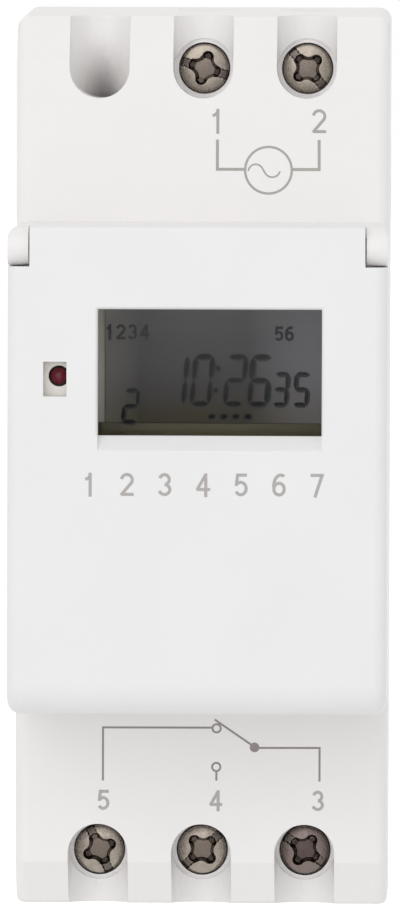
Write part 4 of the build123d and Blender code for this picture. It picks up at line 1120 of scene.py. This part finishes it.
class MakeClockSide(bpy.types.Operator):
    """Make what lies behind the display: board, key switches, chip, crystal, cell and ribbon"""
    bl_idname = "time_switch.clock_side"
    bl_label = "Clock side"

    def execute(self, context):
        steel = plated_metal("bright_tinned_steel", "#BDBAB4", "#A9A6A0", (0.2, 0.35))
        zinc = plated_metal("passivated_screw_steel", "#B9B6A8", "#A09D90", (0.25, 0.4))
        remake_all({
            circuit_board(): ["display_board", "power_board"],
            zinc: ["board_screws"],
            moulded_abs("moulded_switch_black", "#1E1E20", "#242426"): ["key_switches"],
            glossy_plastic("poured_epoxy_black", "#121212", "#1A1A1A"): ["controller_chip"],
            steel: ["clock_crystal", "backup_cell", "cell_tabs", "relay_coil_pins"],
            ribbon_vinyl(): ["ribbon_cable"],
        })
        return {"FINISHED"}


class MakePowerSide(bpy.types.Operator):
    """Make the mains parts on the rear board"""
    bl_idname = "time_switch.power_side"
    bl_label = "Power side"

    def execute(self, context):
        remake_all({
            glossy_plastic("cast_capacitor_yellow", "#D9A826", "#CF9E1F"): ["film_capacitor"],
            glossy_plastic("shrink_sleeve_black", "#1B1F2A", "#222735"): ["smoothing_capacitor"],
            glossy_plastic("dipped_varistor_blue", "#2F5FA8", "#2A569B", (0.3, 0.4)): ["surge_varistor"],
            moulded_abs("moulded_diode_black", "#19191A", "#212122"): ["rectifier_diodes"],
            cement_coating(): ["dropper_resistor"],
        })
        return {"FINISHED"}


class MakeRelay(bpy.types.Operator):
    """Make the changeover relay's parts"""
    bl_idname = "time_switch.relay"
    bl_label = "Relay"

    def execute(self, context):
        iron = plated_metal("zinc_plated_iron", "#B5B3AA", "#9E9C93", (0.28, 0.42), 0.2, (1, 1, 0.2))
        remake_all({
            glossy_plastic("moulded_relay_blue", "#25448A", "#213E80"): ["relay_cover"],
            moulded_abs("moulded_relay_black", "#1A1A1C", "#202022"): ["relay_base", "relay_bobbin"],
            iron: ["relay_yoke", "relay_core", "relay_armature"],
            winding(): ["relay_coil"],
            plated_metal("silver_faced_brass", "#CBB98A", "#B9A777", (0.22, 0.35)): ["relay_contacts"],
        })
        return {"FINISHED"}


class MakeStage(bpy.types.Operator):
    """Make the floor, the lights and the camera at the photograph's viewpoint"""
    bl_idname = "time_switch.stage"
    bl_label = "Stage"

    def execute(self, context):
        props = context.scene.time_switch_stage
        make_floor()
        make_lights(props)
        make_camera(props)
        context.scene.view_settings.view_transform = "Standard"
        return {"FINISHED"}


def looked_at(tree):
    """1 for rays from the camera and for what metal and glass show, else 0."""
    path = add(tree, "ShaderNodeLightPath").outputs
    seen = path["Is Camera Ray"]
    for kind in ("Is Glossy Ray", "Is Transmission Ray"):
        settings = {"operation": "ADD", "use_clamp": True}
        seen = add(tree, "ShaderNodeMath", settings, {0: seen, 1: path[kind]})
    return seen


def pale_floor():
    """Matt white paper: plain white to the eye where the light reaches it, and grey only in a shadow.

    Its underside is clear, so that the switch can be looked at from below.
    """
    material, tree, shader = new_material("matt_white_paper")
    feed(tree, shader, {"Base Color": "#F2F2F2", "Roughness": 0.9})
    glow = add(tree, "ShaderNodeEmission", inputs={"Color": (1, 1, 1, 1), "Strength": 0.6})
    lit = add(tree, "ShaderNodeBsdfDiffuse", inputs={"Color": (0.75, 0.75, 0.75, 1)})
    seen = add(tree, "ShaderNodeAddShader", inputs={0: glow, 1: lit})
    paper = add(tree, "ShaderNodeMixShader", inputs={0: looked_at(tree), 1: shader, 2: seen})
    underside = add(tree, "ShaderNodeNewGeometry").outputs["Backfacing"]
    clear = add(tree, "ShaderNodeBsdfTransparent")
    floor = add(tree, "ShaderNodeMixShader", inputs={0: underside, 1: paper, 2: clear})
    output = next(node for node in tree.nodes if node.type == "OUTPUT_MATERIAL")
    feed(tree, output, {"Surface": floor})
    return material


def make_floor():
    """A wide pale floor, some way below the switch, which hangs from its rail."""
    level = CAD_BOX[0].z - FLOOR_DROP
    corners = [(x * FLOOR_HALF, y * FLOOR_HALF, level) for x, y in ((-1, -1), (1, -1), (1, 1), (-1, 1))]
    bm = bmesh.new()
    bm.faces.new([bm.verts.new(corner) for corner in corners])
    shaded_object("floor", mesh_from(bm, "floor"), pale_floor())


def make_lights(props):
    """A plain bright world, shown as white, and one large soft lamp in front and a little above."""
    world = bpy.data.worlds.new("studio")
    bpy.context.scene.world = world
    world.use_nodes = True
    tree = world.node_tree
    tree.nodes.clear()
    lit = add(tree, "ShaderNodeBackground", inputs={"Color": (1, 1, 1, 1), "Strength": props.sky})
    shown = add(tree, "ShaderNodeBackground", inputs={"Color": (1, 1, 1, 1), "Strength": 1.0})
    mix = add(tree, "ShaderNodeMixShader", inputs={0: looked_at(tree), 1: lit, 2: shown})
    add(tree, "ShaderNodeOutputWorld", inputs={"Surface": mix})
    lamp = bpy.data.lights.new("front_lamp", "AREA")
    lamp.energy = props.key
    lamp.size = LAMP_SIZE
    holder = new_object("front_lamp", lamp)
    holder.location = LAMP_PLACE
    holder.rotation_euler = (LAMP_AIM - LAMP_PLACE).to_track_quat("-Z", "Y").to_euler()


def make_camera(props):
    """The camera where the photograph was taken from, found by fitting the edges of the case."""
    turn, lift, roll = props.azimuth, props.elevation, props.roll
    back = Vector((math.sin(turn) * math.cos(lift), -math.cos(turn) * math.cos(lift), math.sin(lift)))
    right = (-back).cross(Vector((0, 0, 1))).normalized()
    up = right.cross(-back)
    rolled_right = right * math.cos(roll) + up * math.sin(roll)
    rolled_up = up * math.cos(roll) - right * math.sin(roll)
    data = bpy.data.cameras.new("camera")
    data.lens = props.lens
    data.sensor_width = 36
    data.clip_start, data.clip_end = 0.05, 30
    camera = new_object("camera", data)
    turned = Matrix((rolled_right, rolled_up, back)).transposed().to_4x4()
    camera.matrix_world = Matrix.Translation(Vector(props.target) + back * props.distance) @ turned
    bpy.context.scene.camera = camera


GROUPS = {
    "time_switch_case": TimeSwitchCase, "time_switch_display": TimeSwitchDisplay,
    "time_switch_print": TimeSwitchPrint, "time_switch_screws": TimeSwitchScrews,
    "time_switch_stage": TimeSwitchStage,
}
OPERATORS = [
    MakeMouldings, MakeSpring, MakeCover, MakeDisplay, MakeKeys, MakeTerminals, MakePrint,
    MakeClockSide, MakePowerSide, MakeRelay, MakeStage,
]


class TimeSwitchPanel(bpy.types.Panel):
    """Settings and steps of the time switch"""
    bl_idname = "VIEW3D_PT_time_switch"
    bl_label = "Time switch"
    bl_space_type = "VIEW_3D"
    bl_region_type = "UI"
    bl_category = "Time switch"

    def draw(self, context):
        for name, group in GROUPS.items():
            box = self.layout.box()
            for prop in group.__annotations__:
                box.prop(getattr(context.scene, name), prop)
        for operator in OPERATORS:
            self.layout.operator(operator.bl_idname)


def register():
    """Registers the settings, the operators and the panel."""
    for name, group in GROUPS.items():
        bpy.utils.register_class(group)
        setattr(bpy.types.Scene, name, PointerProperty(type=group))
    for operator in OPERATORS:
        bpy.utils.register_class(operator)
    bpy.utils.register_class(TimeSwitchPanel)


def unregister():
    """Takes back what register did, in the opposite order."""
    bpy.utils.unregister_class(TimeSwitchPanel)
    for operator in reversed(OPERATORS):
        bpy.utils.unregister_class(operator)
    for name, group in GROUPS.items():
        delattr(bpy.types.Scene, name)
        bpy.utils.unregister_class(group)


def main():
    """Makes the time switch and its stage step by step."""
    register()
    for operator in OPERATORS:
        module, step = operator.bl_idname.split(".")
        getattr(getattr(bpy.ops, module), step)()


if __name__ == "__main__":
    main()
